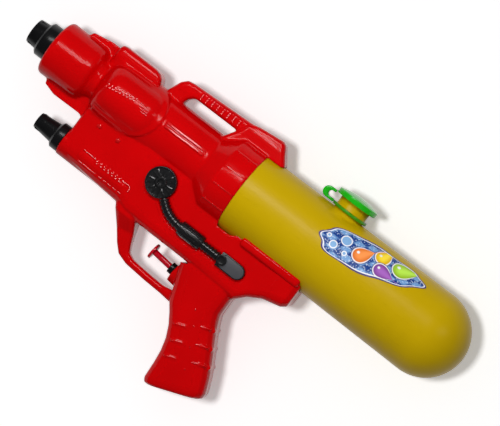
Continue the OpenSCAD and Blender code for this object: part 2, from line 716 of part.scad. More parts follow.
module left_casing() {
  color(red) place() difference() {
    casing_half();
    screw_posts(shank_r + run_gap, -1, shank_len - seat_z + 2);
    trim_room();
    for (p = peg_at) translate([p.x, p.y, side_half - wall - 1]) cylinder(h = wall + 2, r = peg_r + run_gap * 2);
  }
}
module right_casing() {
  color(red) place() mirror([0, 0, 1]) difference() {
    casing_half();
    screw_posts(shank_r + fit_gap, -1, seat_z + 2);
    screw_posts(head_r + fit_gap, seat_z, far);
  }
}
module casing_screws() {
  color(steel) place() for (p = screws) translate([p.x, p.y, -seat_z]) {
    cylinder(h = shank_len, r = shank_r);
    translate([0, 0, -head_h]) difference() {
      cylinder(h = head_h, r = head_r);
      for (a = [0, 90]) rotate([0, 0, a]) translate([-head_r * 0.6, -0.35, -1]) cube([head_r * 1.2, 0.7, 1.9]);
    }
  }
}

// Tank: a turned bottle with its outlet neck ahead and the filler neck on top
outlet_tip = spigot_x - outlet_len;
bead_t = 2.5;
module tank_outer_profile() {
  straight = tank_len - dome_len;
  tank_profile(-eps);
  translate([0, straight]) intersection() {
    circle(r = tank_rear_r);
    translate([0, -eps]) square([far, far]);
  }
  translate([0, spigot_x]) square([spigot_r, -spigot_x + fit_gap + 0.2]);
  translate([0, outlet_tip]) square([outlet_r, outlet_len + eps]);
  translate([0, bulkhead_x - fit_gap - bead_t]) square([outlet_r + 2.5, bead_t]);
}
module tank_inner_profile() {
  straight = tank_len - dome_len;
  inner = tank_rear_r - tank_wall;
  translate([0, spigot_x + tank_wall]) square([spigot_r - tank_wall, -spigot_x]);
  polygon([[0, tank_wall], [tank_r - tank_wall, tank_wall], [inner, straight], [0, straight]]);
  translate([0, straight]) intersection() {
    circle(r = inner);
    translate([0, -eps]) square([far, far]);
  }
  translate([0, outlet_tip - 1]) square([outlet_bore, outlet_len + tank_wall + 2]);
}
module tank() {
  color(yellow) place() difference() {
    union() {
      along_x() rotate_extrude() tank_outer_profile();
      translate([filler_x, tank_r - 8, 0]) along_y() cylinder(h = filler_h - tank_r + 8, r = filler_r);
    }
    along_x() rotate_extrude() tank_inner_profile();
    translate([filler_x, tank_r - 12, 0]) along_y() cylinder(h = far, r = filler_bore);
  }
}

// Filler stopper, its ring on the neck and the strap that joins them
ring_y = tank_rear_r + 0.1;
module on_filler() { translate([filler_x, 0, 0]) children(); }
module cap_ring() {
  color(green) place() on_filler() translate([0, ring_y, 0]) along_y() difference() {
    cylinder(h = ring_t, r = ring_r);
    translate([0, 0, -1]) cylinder(h = ring_t + 2, r = filler_r + fit_gap);
  }
}
disc_y = filler_h + fit_gap;
disc_edge = 4;
module fill_cap() {
  dome = stopper_t - disc_edge;
  ball = (stopper_r * stopper_r + dome * dome) / (2 * dome);
  color(green) place() on_filler() translate([0, disc_y, 0]) along_y() {
    cylinder(h = disc_edge, r = stopper_r);
    translate([0, 0, disc_edge - eps]) intersection() {
      translate([0, 0, dome - ball]) sphere(r = ball, $fn = 96);
      cylinder(h = dome + 1, r = stopper_r - eps);
    }
    translate([0, 0, -plug_len]) difference() {
      cylinder(h = plug_len + eps, r = filler_bore - plug_gap);
      translate([0, 0, -1]) cylinder(h = plug_len, r = filler_bore - plug_gap - plug_wall);
    }
  }
}
module cap_strap() {
  low = ring_y + 0.3;
  high = disc_y + 0.4;
  turn_r = (high - low) / 2;
  loop_r = turn_r - strap_t;
  cx = -ring_r - strap_reach + turn_r;
  cy = low + turn_r;
  color(green) place() on_filler() translate([0, 0, -strap_half]) linear_extrude(2 * strap_half) difference() {
    union() {
      translate([cx, cy]) circle(r = turn_r);
      translate([cx, low]) square([-ring_r - fit_gap - cx, turn_r]);
      translate([cx, cy - eps]) square([-stopper_r - fit_gap - cx, turn_r + eps]);
    }
    translate([cx + strap_swell, cy]) circle(r = loop_r);
    translate([cx + strap_swell, cy - loop_r]) square([far, 2 * loop_r]);
  }
}

// Nozzles: a ridged tapered tip, a flange on the casing's face, a neck and an inner flange
barb_r = hose_bore - run_gap;
module nozzle(tip_len, tip_r, flange_len, flange_r, neck_r, mouth_r) {
  root_r = tip_r + tip_len * 0.12;
  difference() {
    union() {
      translate([-flange_len - tip_len, 0, 0]) along_x() cylinder(h = tip_len + 1, r1 = tip_r, r2 = root_r);
      rod_x(-flange_len + 1.5, -fit_gap, flange_r);
      translate([-flange_len, 0, 0]) along_x() cylinder(h = 1.5 + eps, r1 = flange_r - 1.5, r2 = flange_r);
      rod_x(-1, wall + fit_gap + 1, neck_r);
      rod_x(wall + fit_gap, wall + fit_gap + 2.2, neck_r + 2.6);
      rod_x(wall + fit_gap + 2, wall + fit_gap + 2.2 + barb_len + 2, barb_r);
      for (i = [0:nozzle_ridges - 1]) rotate([360 * (i + 0.5) / nozzle_ridges, 0, 0])
        translate([-flange_len - tip_len + 1.5, -0.7, tip_r - 1.5]) cube([tip_len, 1.4, 2.2]);
    }
    rod_x(-far, far, jet_r);
    rod_x(-far, -flange_len - tip_len + 6, mouth_r);
  }
}
upper_mouth_r = 6;
module upper_nozzle() {
  color(black) place() translate([muzzle_x, 0, 0])
    nozzle(upper_tip_len, upper_tip_r, upper_flange_len, upper_flange_r, upper_neck_r, upper_mouth_r);
}
module lower_nozzle() {
  color(black) place() translate([-tube_reach, -tube_drop, 0])
    nozzle(lower_tip_len, lower_tip_r, lower_flange_len, lower_flange_r, lower_neck_r, 3.6);
}

// Side trim: a dial with fan facets, and a moulded ribbed hose with sleeve and end plate
module side_dial() {
  base = side_half - trim_sink + fit_gap;
  top = side_half + dial_h;
  color(black) place() translate([dial_at.x, dial_at.y, 0]) difference() {
    union() {
      translate([0, 0, base]) cylinder(h = top - base - 0.8, r = dial_r);
      translate([0, 0, top - 1]) difference() {
        cylinder(h = 1, r = dial_r);
        translate([0, 0, -1]) cylinder(h = 3, r = dial_r - 1);
      }
      for (i = [0:dial_facets - 1]) rotate([0, 0, 360 * i / dial_facets])
        translate([4.5, -0.5, top - 1]) cube([dial_r - 5.2, 1, 0.8]);
      translate([0, 0, top - 1]) cylinder(h = 1, r = 4.6);
      translate([0, 0, side_half - wall - 1]) cylinder(h = wall + 1, r = peg_r);
    }
    translate([0, 0, top - 1]) cylinder(h = 2, r = 2);
  }
}
// Rings of the hose, flat where it lies on the floor of its channel
function rib_ring(p, d, r, n = 12) = [for (k = [0:n - 1]) let(a = 360 * (k + 0.5) / n)
  [p.x - d.y * r * cos(a), p.y + d.x * r * cos(a), trim_axis + max(r * sin(a), -trim_lift)]];
trim_bore = 0.6 * trim_lift;
module trim_hollow() {
  skin(concat([for (i = [0:7]) let(t = -0.02 + 1.02 * i / 7) rib_ring(bend_point(t), bend_way(t), trim_bore, 8)],
    [rib_ring(run_point(plate_at + 1), run_way, trim_bore, 8)]));
}
module ribbed(at, way, ribs) {
  skin([for (i = [0:ribs - 1]) each [for (q = [[0.02, 0], [0.5, 0], [0.62, trim_rib], [0.9, trim_rib]])
    let(t = (i + q[0]) / ribs) rib_ring(at(t), way(t), trim_r - q[1])]]);
}
module hose_trim() {
  from = sleeve_len - 1;
  span = plate_at + 2.5 - from;
  bend_len = norm(bend_knee - bend_start) + norm(run_start - bend_knee);
  plate_h = trim_sink + 2.4;
  color(black) place() difference() {
    union() {
      ribbed(function(t) bend_point(t) + run_way * max(t - 0.8, 0) * 10,
        function(t) bend_way(t), ceil(bend_len / trim_pitch));
      ribbed(function(t) run_point(from + span * t), function(t) run_way, ceil(span / trim_pitch));
      on_run(trim_z + 1) intersection() {
        union() {
          rod_x(0, sleeve_len, sleeve_r);
          for (a = [-60:20:60]) rotate([a, 0, 0]) translate([2, -0.4, sleeve_r - 1]) cube([sleeve_len - 4, 0.8, 1.5]);
        }
        translate([-far, -far, -1]) cube([2 * far, 2 * far, far]);
      }
      on_run(trim_z) {
        translate([plate_at, -plate_half, 0]) cube([plate_end - plate_at, 2 * plate_half, plate_h]);
        translate([plate_end, 0, 0]) cylinder(h = plate_h, r = plate_half);
        translate([plate_end, 0, -wall]) cylinder(h = wall + 1, r = peg_r);
        translate([plate_at + 2.5, 0, 0]) cylinder(h = trim_lift + trim_r, r = trim_r + 0.15);
      }
    }
    trim_hollow();
    on_run(trim_z) translate([plate_at + 2.5, 0, trim_lift + trim_r - 1]) cylinder(h = 2, r = trim_r - 1.2);
  }
}

// Trigger, bush and pump, drawn along the pump's axis with 0 on the casing's wall
bush_face = -1 - fit_gap - bush_len;
pump_mouth = bush_seat + fit_gap;
spigot_end = pump_mouth + 3.2;
piston_x = spigot_end + 0.5;
piston_r = pump_bore - 0.15;
seal_r = 0.9;
seal_x = piston_x + piston_len * 0.55;
head_x = bush_face - trigger_show;
pump_end = pump_mouth + pump_len;
module trigger() {
  color(red) place() on_pump() difference() {
    union() {
      rod_x(head_x - trigger_t, head_x, trigger_r);
      rod_x(head_x - eps, piston_x + 1, rod_r);
      rod_x(piston_x, piston_x + piston_len, piston_r);
    }
    difference() {
      rod_x(seal_x - seal_r - 0.1, seal_x + seal_r + 0.1, pump_bore + 1);
      rod_x(seal_x - far, seal_x + far, pump_bore - 2 * seal_r - 0.15);
    }
  }
}
module piston_seal() {
  color(black) place() on_pump() translate([seal_x, 0, 0]) along_x()
    rotate_extrude() translate([pump_bore - run_gap - seal_r, 0]) circle(r = seal_r);
}
module trigger_bush() {
  color(black) place() on_pump() difference() {
    union() {
      rod_x(bush_face, -1 - fit_gap, bush_r);
      rod_x(-2, spigot_end, spigot_bush_r);
    }
    rod_x(-far, far, rod_r + run_gap);
  }
}
module pump_cylinder() {
  color(clear) place() on_pump() difference() {
    rod_x(pump_mouth, pump_end, pump_bore + pump_wall);
    rod_x(pump_mouth + 2, pump_end - 2, pump_bore);
    rod_x(pump_mouth - 1, pump_mouth + 3, spigot_bush_r + fit_gap);
    for (u = [outlet_u, inlet_u]) translate([u, 0, 0]) along_y() cylinder(h = far, r = jet_r);
  }
}

// Return spring: one wire along a coil, flat turns at both ends
spring_x0 = piston_x + piston_len + 0.2;
spring_x1 = pump_end - 2 - 0.2;
coil_r = pump_bore - wire_r - 0.5;
module return_spring() {
  steps = 14;
  count = spring_turns * steps;
  pitch = (spring_x1 - spring_x0 - 2 * wire_r) / spring_turns;
  echo(coil_gap = pitch - 2 * wire_r);
  color(steel) place() on_pump() skin([for (i = [0:count]) let(a = 360 * i / steps, c = cos(a), s = sin(a))
    [for (k = [0:5]) let(b = 60 * k, r = coil_r + wire_r * cos(b))
      [spring_x0 + wire_r + pitch * i / steps + wire_r * sin(b), r * c, r * s]]]);
}

// Valve housings stand on the pump, each with a ball in its chamber and a barb on top
outlet_u = pump_end - 13.3;
inlet_u = pump_end - 4.7;
chamber = 2 * ball_r + ball_lift + 0.4;
valve_floor = pump_bore + pump_wall + 2.6;
valve_top = valve_floor + chamber + 2;
module valve(u) {
  color(clear) place() on_pump() difference() {
    translate([u, 0, 0]) along_y() {
      translate([0, 0, pump_bore]) cylinder(h = valve_top - pump_bore, r = valve_r);
      cylinder(h = valve_top + barb_len, r = barb_r);
    }
    rod_x(-far, far, pump_bore + pump_wall + run_gap);
    translate([u, 0, 0]) along_y() {
      cylinder(h = far, r = jet_r);
      translate([0, 0, valve_floor]) cylinder(h = chamber, r = ball_r + 0.5);
    }
  }
}
module inlet_valve() { valve(inlet_u); }
module outlet_valve() { valve(outlet_u); }
module ball(u, v) { color(steel) place() on_pump() translate([u, v, 0]) sphere(r = ball_r); }
module inlet_ball() { ball(inlet_u, valve_floor + chamber - ball_r - 0.2); }
module outlet_ball() { ball(outlet_u, valve_floor + ball_r + 0.2); }

// Hoses on the parting plane, from barb to barb
function pump_point(u, v) = [-pump_front + u * cos(pump_tilt) + v * sin(pump_tilt),
  -pump_drop - u * sin(pump_tilt) + v * cos(pump_tilt)];
function above(p, y) = [p.x + (y - p.y) * tan(pump_tilt), y];
hose_gap = 0.1;
feed_y = -tube_drop + 9;
riser_x = receiver_x - 16;
bung_face = outlet_tip - 1.8;
tee_x = body_front + 31;
tee_half = 6;
module feed_hose() {
  a = pump_point(inlet_u, valve_top + hose_gap);
  color(clear) place() hose([a, above(a, feed_y), [riser_x, feed_y], [riser_x, 0], [bung_face - hose_gap, 0]]);
}
module delivery_hose() {
  a = pump_point(outlet_u, valve_top + hose_gap);
  color(clear) place() hose([a, above(a, -tube_drop), [tee_x + tee_half + hose_gap, -tube_drop]]);
}
module hose_tee() {
  color(clear) place() translate([tee_x, -tube_drop, 0]) difference() {
    union() {
      rod_x(-tee_half, tee_half, hose_r + 0.4);
      rod_x(-tee_half - barb_len, tee_half + barb_len, barb_r);
      along_y() cylinder(h = tee_half, r = hose_r + 0.4);
      along_y() cylinder(h = tee_half + barb_len, r = barb_r);
    }
    rod_x(-far, far, jet_r);
    along_y() cylinder(h = far, r = jet_r);
  }
}
nozzle_barb = wall + fit_gap + 2.2 + hose_gap;
module upper_hose() {
  color(clear) place() hose([[tee_x, -tube_drop + tee_half + hose_gap], [tee_x, 0], [muzzle_x + nozzle_barb, 0]]);
}
module lower_hose() {
  color(clear) place() hose([[tee_x - tee_half - hose_gap, -tube_drop], [-tube_reach + nozzle_barb, -tube_drop]]);
}

// Bung in the tank's outlet neck and the dip tube behind it
bung_rear = spigot_x + tank_wall + 1;
module tank_bung() {
  color(black) place() difference() {
    union() {
      rod_x(bung_face, outlet_tip - 0.05, outlet_r - 0.5);
      rod_x(outlet_tip - 0.5, bung_rear, outlet_bore - run_gap);
      rod_x(bung_face - barb_len - 3, bung_rear + barb_len + 2, barb_r);
    }
    rod_x(-far, far, jet_r);
  }
}
module dip_tube() {
  color(clear) place() difference() {
    dip_path(hose_r, 0);
    dip_path(hose_bore, 1);
  }
}
module dip_path(r, more) {
  low = tank_r - tank_wall - hose_r - 1;
  a = [tank_len - 60, -low];
  b = [30, 0];
  tube([[bung_rear + hose_gap - more, 0], b, a + more * (a - b) / norm(a - b)], r, 30);
}

left_casing();
right_casing();
casing_screws();
tank();
cap_ring();
cap_strap();
fill_cap();
upper_nozzle();
lower_nozzle();
side_dial();
hose_trim();
trigger();
piston_seal();
trigger_bush();
pump_cylinder();
return_spring();
inlet_valve();
inlet_ball();
outlet_valve();
outlet_ball();
feed_hose();
tank_bung();
dip_tube();
delivery_hose();
hose_tee();
upper_hose();
lower_hose();
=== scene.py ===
# %% [markdown]
# A toy water squirter, lying on its side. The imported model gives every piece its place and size, in metres.
# This lesson dresses it: soft moulded edges, raised details, plastics, a printed label, a floor, lamps and a camera.

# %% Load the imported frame
import math

import bmesh
import bpy
from mathutils import Matrix, Vector
from mathutils.bvhtree import BVHTree


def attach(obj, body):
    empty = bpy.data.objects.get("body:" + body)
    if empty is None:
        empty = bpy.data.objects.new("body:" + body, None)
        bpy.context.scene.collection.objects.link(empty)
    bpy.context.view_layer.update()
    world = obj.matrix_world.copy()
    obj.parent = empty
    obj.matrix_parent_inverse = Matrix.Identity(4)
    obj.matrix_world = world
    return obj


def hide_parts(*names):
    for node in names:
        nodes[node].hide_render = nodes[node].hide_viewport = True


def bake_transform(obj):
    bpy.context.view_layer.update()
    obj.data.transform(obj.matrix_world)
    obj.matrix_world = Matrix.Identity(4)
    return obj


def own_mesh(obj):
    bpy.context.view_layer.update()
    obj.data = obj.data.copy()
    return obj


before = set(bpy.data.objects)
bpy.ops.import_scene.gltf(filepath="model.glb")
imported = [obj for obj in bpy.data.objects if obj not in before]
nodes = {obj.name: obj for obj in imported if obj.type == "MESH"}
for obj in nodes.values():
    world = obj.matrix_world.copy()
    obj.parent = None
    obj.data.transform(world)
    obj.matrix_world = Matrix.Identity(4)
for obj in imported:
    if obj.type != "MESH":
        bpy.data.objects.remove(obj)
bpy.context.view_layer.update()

# %% [markdown]
# The toy was drawn in millimetres from the point where the bore meets the front of the tank: X runs rearward,
# Y up to the carry handle and Z out of the side with the dial, from the seam of the casing. Working in those
# numbers keeps them readable, and TO_ROW turns them into the frame's metres at the very end of each piece.

# %% Drawing millimetres and frame metres
DRAWING_ORIGIN, MILLIMETRE = (-0.002, 0.05295, 0.0338), 0.001
TO_ROW = Matrix.Translation(DRAWING_ORIGIN) @ Matrix.Scale(MILLIMETRE, 4)
TO_MM = TO_ROW.inverted()
SIDE = Vector((0.0, 0.0, 1.0))
print("drawing origin in the frame:", DRAWING_ORIGIN)

# %% [markdown]
# Shader graphs are easier to read as sums. A Wire holds one socket, and adding or multiplying wires lays down
# Math nodes, also where a plain number comes first, as in 1 - mask.

# %% Shader maths as Python sums
class Wire:
    def __init__(self, finish, socket):
        self.finish = finish
        self.socket = socket

    def maths(self, operation, first, second):
        return self.finish.node("ShaderNodeMath", {"operation": operation}, {0: first, 1: second})

    def __add__(self, other):
        return self.maths("ADD", self, other)

    def __sub__(self, other):
        return self.maths("SUBTRACT", self, other)

    def __rsub__(self, other):
        return self.maths("SUBTRACT", other, self)

    def __mul__(self, other):
        return self.maths("MULTIPLY", self, other)

    def __truediv__(self, other):
        return self.maths("DIVIDE", self, other)

    def __rtruediv__(self, other):
        return self.maths("DIVIDE", other, self)

    def __pow__(self, other):
        return self.maths("POWER", self, other)

    def __rpow__(self, other):
        return self.maths("POWER", other, self)

    __radd__ = __add__
    __rmul__ = __mul__

    def larger(self, other):
        return self.maths("MAXIMUM", self, other)

    def smaller(self, other):
        return self.maths("MINIMUM", self, other)

    def wave(self):
        return self.maths("SINE", self, 0.0)

    def fade(self, low, high):
        return self.finish.node("ShaderNodeMapRange", {"interpolation_type": "SMOOTHSTEP"},
                                {"Value": self, "From Min": low, "From Max": high})


print("a wire adds, subtracts, multiplies, divides and takes powers")

# %% [markdown]
# A Finish is one material. Its node method lays down any node from its type, its settings and its sockets, and the
# methods after it are short names for the nodes that these plastics use. A Mix node has sockets of the same name
# for each kind of value, so its colour sockets are found by their number.

# %% Nodes of a finish
MIX_FACTOR, MIX_FIRST, MIX_SECOND, MIX_RESULT = 0, 6, 7, 2


class Finish:
    def __init__(self, name):
        self.material = bpy.data.materials.new(name)
        self.material.use_nodes = True
        self.tree = self.material.node_tree
        self.shader = self.tree.nodes["Principled BSDF"]

    def node(self, kind, settings, sockets, out=0):
        made = self.tree.nodes.new(kind)
        for key, value in settings.items():
            setattr(made, key, value)
        for key, value in sockets.items():
            self.plug(made.inputs[key], value)
        return Wire(self, made.outputs[out])

    def plug(self, socket, value):
        if isinstance(value, Wire):
            self.tree.links.new(value.socket, socket)
        else:
            socket.default_value = value

    def surface(self, **sockets):
        for key, value in sockets.items():
            self.plug(self.shader.inputs[key.replace("_", " ")], value)

    def place(self):
        return self.node("ShaderNodeTexCoord", {}, {}, "Object")

    def noise(self, place, scale, detail=3.0):
        return self.node("ShaderNodeTexNoise", {}, {"Vector": place, "Scale": scale, "Detail": detail})

    def stretch(self, place, factors):
        return self.node("ShaderNodeMapping", {}, {"Vector": place, "Scale": factors})

    def mix(self, factor, first, second):
        sockets = {MIX_FACTOR: factor, MIX_FIRST: first, MIX_SECOND: second}
        return self.node("ShaderNodeMix", {"data_type": "RGBA"}, sockets, MIX_RESULT)

    def bump(self, height, strength, distance):
        return self.node("ShaderNodeBump", {}, {"Height": height, "Strength": strength, "Distance": distance})


print("a finish has noise, stretch, mix and bump")

# %% [markdown]
# The casing, stopper and trim are moulded plastic. Up close, such plastic has faint swirls where the pigment
# flowed, a roughness that wanders a little, and a very fine skin from the mould. One function makes all three
# from noise at three sizes, because only the numbers differ between the red, green and black pieces. Raised marks
# are rubbed bright by hands, so their red has more gloss. Each line below gives a deep and a bright colour, the
# roughness, how fine the skin is, how strong it is, and the specular level.

# %% Moulded plastics
SWIRL_SCALE, PATCH_SCALE = 26.0, 75.0
ROUGH_SPREAD, SKIN_DEPTH = 0.1, 0.0002
CASING_RED = ((0.515, 0.0002, 0.001), (0.57, 0.0002, 0.0012))


def moulded(name, deep, bright, rough, grain, skin, specular):
    finish = Finish(name)
    place = finish.place()
    swirl = finish.noise(place, SWIRL_SCALE, 4.0).fade(0.32, 0.7)
    patches = finish.noise(place, PATCH_SCALE)
    pores = finish.noise(place, grain, 2.0)
    finish.surface(Base_Color=finish.mix(swirl, (*deep, 1), (*bright, 1)), Roughness=rough + patches * ROUGH_SPREAD,
                   Normal=finish.bump(pores, skin, SKIN_DEPTH), Specular_IOR_Level=specular)
    return finish.material


red_shell = moulded("red_shell", *CASING_RED, 0.1, 900.0, 0.03, 0.1)
raised_red = moulded("raised_red", *CASING_RED, 0.1, 900.0, 0.03, 0.55)
# The trigger is the casing's kind of red plastic, a little bluer; its darker red is painted shade for its place under
# the body and guard.
shaded_trigger_red = moulded("shaded_trigger_red", (0.44, 0.001, 0.010), (0.54, 0.002, 0.013), 0.12, 900.0, 0.04, 0.35)
green_plastic = moulded("green_plastic", (0.006, 0.36, 0.003), (0.012, 0.46, 0.006), 0.12, 800.0, 0.04, 0.45)
olive_plastic = moulded("olive_plastic", (0.03, 0.22, 0.001), (0.05, 0.28, 0.001), 0.15, 800.0, 0.04, 0.4)
black_trim = moulded("black_trim", (0.0025, 0.0025, 0.003), (0.005, 0.005, 0.0055), 0.2, 1300.0, 0.08, 0.2)
satin_black = moulded("satin_black", (0.003, 0.003, 0.0035), (0.007, 0.007, 0.008), 0.2, 1300.0, 0.08, 0.5)
grey_plate = moulded("grey_plate", (0.055, 0.056, 0.063), (0.07, 0.071, 0.079), 0.42, 1500.0, 0.15, 0.3)
black_rubber = moulded("black_rubber", (0.01, 0.01, 0.01), (0.018, 0.018, 0.018), 0.55, 1200.0, 0.1, 0.5)
print("moulded plastics: three reds, two greens, two blacks, grey and rubber")

# %% [markdown]
# The tank is blow-moulded: a hot tube of plastic is blown out against a mould, so its colour has long faint
# streaks along its length and its skin is satin, not mirror-bright. The noise is therefore stretched along X.

# %% Yellow of the tank
EVEN_YELLOW, CLOUD_YELLOW = (0.51, 0.333, 0.0, 1), (0.468, 0.307, 0.0, 1)
STREAK_YELLOW = (0.535, 0.354, 0.002, 1)
CLOUD_SHARE, STREAK_SHARE = 0.5, 0.4
STREAK_STRETCH, RIPPLE_STRETCH = (5.0, 60.0, 60.0), (30.0, 90.0, 90.0)
CLOUD_SCALE, PORE_SCALE, RIPPLE_DEPTH = 16.0, 1100.0, 0.0006


def blown_yellow():
    finish = Finish("tank_yellow")
    place = finish.place()
    streaks = finish.noise(finish.stretch(place, STREAK_STRETCH), 1.0, 4.0).fade(0.3, 0.72)
    clouds = finish.noise(place, CLOUD_SCALE, 2.0).fade(0.3, 0.7)
    ripple = finish.noise(finish.stretch(place, RIPPLE_STRETCH), 1.0, 2.0)
    pores = finish.noise(place, PORE_SCALE, 2.0)
    tint = finish.mix(clouds * CLOUD_SHARE, EVEN_YELLOW, CLOUD_YELLOW)
    finish.surface(Base_Color=finish.mix(streaks * STREAK_SHARE, tint, STREAK_YELLOW),
                   Roughness=0.28 + ripple * 0.1,
                   Normal=finish.bump(ripple * 0.6 + pores * 0.05, 0.05, RIPPLE_DEPTH), Specular_IOR_Level=0.1)
    return finish.material


tank_yellow = blown_yellow()
print("blown plastic: tank yellow")

# %% [markdown]
# Inside are clear pump parts and hoses, and steel springs, balls and screws. They are hardly seen, but a part
# that may be opened later still needs its finishes. Clear plastic is given some transmission and a cold tint,
# and steel gets fine drawn lines in its colour and roughness.

# %% Clear plastic, hose and steel
HAZE_SCALE, HAZE_SPREAD = 120.0, 0.12
CLEAR_SHARE, CLEAR_IOR = 0.6, 1.46
STEEL_STRETCH = (300.0, 300.0, 3000.0)
DARK_STEEL, PALE_STEEL = (0.62, 0.63, 0.65, 1), (0.74, 0.75, 0.77, 1)


def clear(name, tint, rough):
    finish = Finish(name)
    haze = finish.noise(finish.place(), HAZE_SCALE)
    finish.surface(Base_Color=(*tint, 1), Roughness=rough + haze * HAZE_SPREAD, Transmission_Weight=CLEAR_SHARE,
                   IOR=CLEAR_IOR)
    return finish.material


def drawn_steel():
    finish = Finish("steel")
    lines = finish.noise(finish.stretch(finish.place(), STEEL_STRETCH), 1.0, 2.0)
    tone = finish.mix(lines, DARK_STEEL, PALE_STEEL)
    finish.surface(Base_Color=tone, Metallic=1.0, Roughness=0.2 + lines * 0.18)
    return finish.material


clear_plastic = clear("clear_plastic", (0.85, 0.88, 0.9), 0.08)
clear_hose = clear("clear_hose", (0.8, 0.85, 0.88), 0.18)
steel = drawn_steel()
print("inner finishes: clear plastic, clear hose, steel")

# %% [markdown]
# Every piece ends in the same way: its bmesh is moved to the frame's metres, becomes an object at the origin,
# is shaded smooth with its true corners left sharp, rides on a body, and hides the nodes it stands for.
# Many start as a copy of a CAD node, whose loose triangles are merged first.

# %% From a bmesh to a piece
CORNER, MERGE = 38.0, 0.004


def whole(bm):
    return bm.verts[:] + bm.edges[:] + bm.faces[:]


def add_piece(bm, name, body, finish, stands_for=(), corner=CORNER):
    bmesh.ops.transform(bm, matrix=TO_ROW, verts=bm.verts)
    mesh = bpy.data.meshes.new(name)
    bm.to_mesh(mesh)
    bm.free()
    mesh.shade_smooth()
    mesh.set_sharp_from_angle(angle=math.radians(corner))
    mesh.materials.append(finish)
    piece = bpy.data.objects.new(name, mesh)
    bpy.context.scene.collection.objects.link(piece)
    if body:
        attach(piece, body)
    if stands_for:
        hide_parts(*stands_for)
    print(name, "has", len(mesh.polygons), "faces")
    return piece


def merged_copy(node):
    bm = bmesh.new()
    bm.from_mesh(nodes[node].data)
    bmesh.ops.transform(bm, matrix=TO_MM, verts=bm.verts)
    bmesh.ops.remove_doubles(bm, verts=bm.verts, dist=MERGE)
    return bm


print("an edge that turns by more than", CORNER, "degrees stays sharp")

# %% [markdown]
# The red casing is two moulded halves that meet on the plane Z = 0. In the solids their forms cross in sharp
# lines, but a mould is never that sharp: every inner corner has a fillet and every edge is rounded. Bevels
# would have to find hundreds of odd edges, so the copy is remeshed into small even faces and relaxed instead.

# %% Remesh and relax
VOXEL = 0.75
RELAX_SHARE, RELAX_ROUNDS = 0.5, 5
KEPT_SHARE = 0.45


def relaxed(bm):
    mesh = bpy.data.meshes.new("rough")
    bm.to_mesh(mesh)
    bm.free()
    rough = bpy.data.objects.new("rough", mesh)
    bpy.context.scene.collection.objects.link(rough)
    remesh = rough.modifiers.new("remesh", "REMESH")
    remesh.mode = "VOXEL"
    remesh.voxel_size = VOXEL
    relax = rough.modifiers.new("relax", "SMOOTH")
    relax.factor = RELAX_SHARE
    relax.iterations = RELAX_ROUNDS
    thin = rough.modifiers.new("thin", "DECIMATE")
    thin.ratio = KEPT_SHARE
    bpy.context.view_layer.update()
    seen = rough.evaluated_get(bpy.context.evaluated_depsgraph_get())
    soft = bmesh.new()
    soft.from_mesh(seen.to_mesh())
    seen.to_mesh_clear()
    bpy.data.objects.remove(rough)
    bpy.data.meshes.remove(mesh)
    return soft


print("remesh: faces of", VOXEL, "mm, relaxed", RELAX_ROUNDS, "times")

# %% [markdown]
# The remesh leaves soft waves where ribs melted into the round bodies, and a streak of light would show them, so the
# barrel, receiver and collar are trued to their own radius. A point is moved only where it is already close to it and
# looks out from the bore. The waist behind the barrel is a soft valley, so it is pressed in first, and it and the pod
# get more rounds of smoothing.

# %% True round bodies and a soft waist
ROUND_BODIES = ((-176.0, -148.0, 22.7), (-76.0, -36.0, 24.5), (-18.2, -1.3, 33.4))
TRUE_WITHIN, LOOKS_OUT = 0.9, 0.93
WAIST_X, WAIST_HALF, WAIST_DIP = -134.0, 10.0, 5.0
SOFT_FRONT, SOFT_REAR, SOFT_HIGH, SOFT_SIDE = -149.0, -93.0, 23.0, 4.5
SOFT_ROUNDS = 24


def from_bore(vert):
    return Vector((0.0, vert.co.y, vert.co.z))


def soften_waist(bm):
    soft = [v for v in bm.verts
            if SOFT_FRONT < v.co.x < SOFT_REAR and abs(v.co.y) < SOFT_HIGH and abs(v.co.z) > SOFT_SIDE]
    for v in soft:
        aside = min(1.0, abs(v.co.x - WAIST_X) / WAIST_HALF)
        v.co -= from_bore(v).normalized() * WAIST_DIP * math.cos(aside * math.pi / 2) ** 2
    for _ in range(SOFT_ROUNDS):
        bmesh.ops.smooth_vert(bm, verts=soft, factor=RELAX_SHARE, use_axis_x=True, use_axis_y=True, use_axis_z=True)


def true_rounds(bm):
    bm.normal_update()
    for v in bm.verts:
        spoke = from_bore(v)
        for front, rear, radius in ROUND_BODIES:
            off = radius - spoke.length
            if front < v.co.x < rear and abs(off) < TRUE_WITHIN and v.normal.dot(spoke.normalized()) > LOOKS_OUT:
                v.co += spoke.normalized() * off
                break


print("round bodies:", len(ROUND_BODIES), "trued within", TRUE_WITHIN, "mm")

# %% [markdown]
# Each half is doubled by its mirror image before the remesh, so that the seam doesn't get rounded away, and is
# cut back afterwards. The cut stands a hair off the seam plane, and the two cuts leave the fine dark parting
# line that such a toy shows all round. The surfaces are kept as search trees, for the marks that lie on them.

# %% Casing halves
SEAM, SEAM_FLAT, SEAM_MERGE = 0.06, 0.003, 0.005
SHELL_CORNER = 50.0


def soft_half(node, side):
    bm = merged_copy(node)
    seam = [f for f in bm.faces if all(abs(v.co.z) < SEAM_FLAT for v in f.verts)]
    bmesh.ops.delete(bm, geom=seam, context="FACES")
    bmesh.ops.mirror(bm, geom=whole(bm), axis="Z", merge_dist=SEAM_MERGE)
    bm = relaxed(bm)
    soften_waist(bm)
    true_rounds(bm)
    cut = bmesh.ops.bisect_plane(bm, geom=whole(bm), plane_co=(0, 0, side * SEAM), plane_no=(0, 0, -side),
                                 clear_outer=True)
    rim = [g for g in cut["geom_cut"] if isinstance(g, bmesh.types.BMEdge)]
    bmesh.ops.triangle_fill(bm, use_beauty=True, edges=rim)
    bmesh.ops.recalc_face_normals(bm, faces=bm.faces)
    return bm


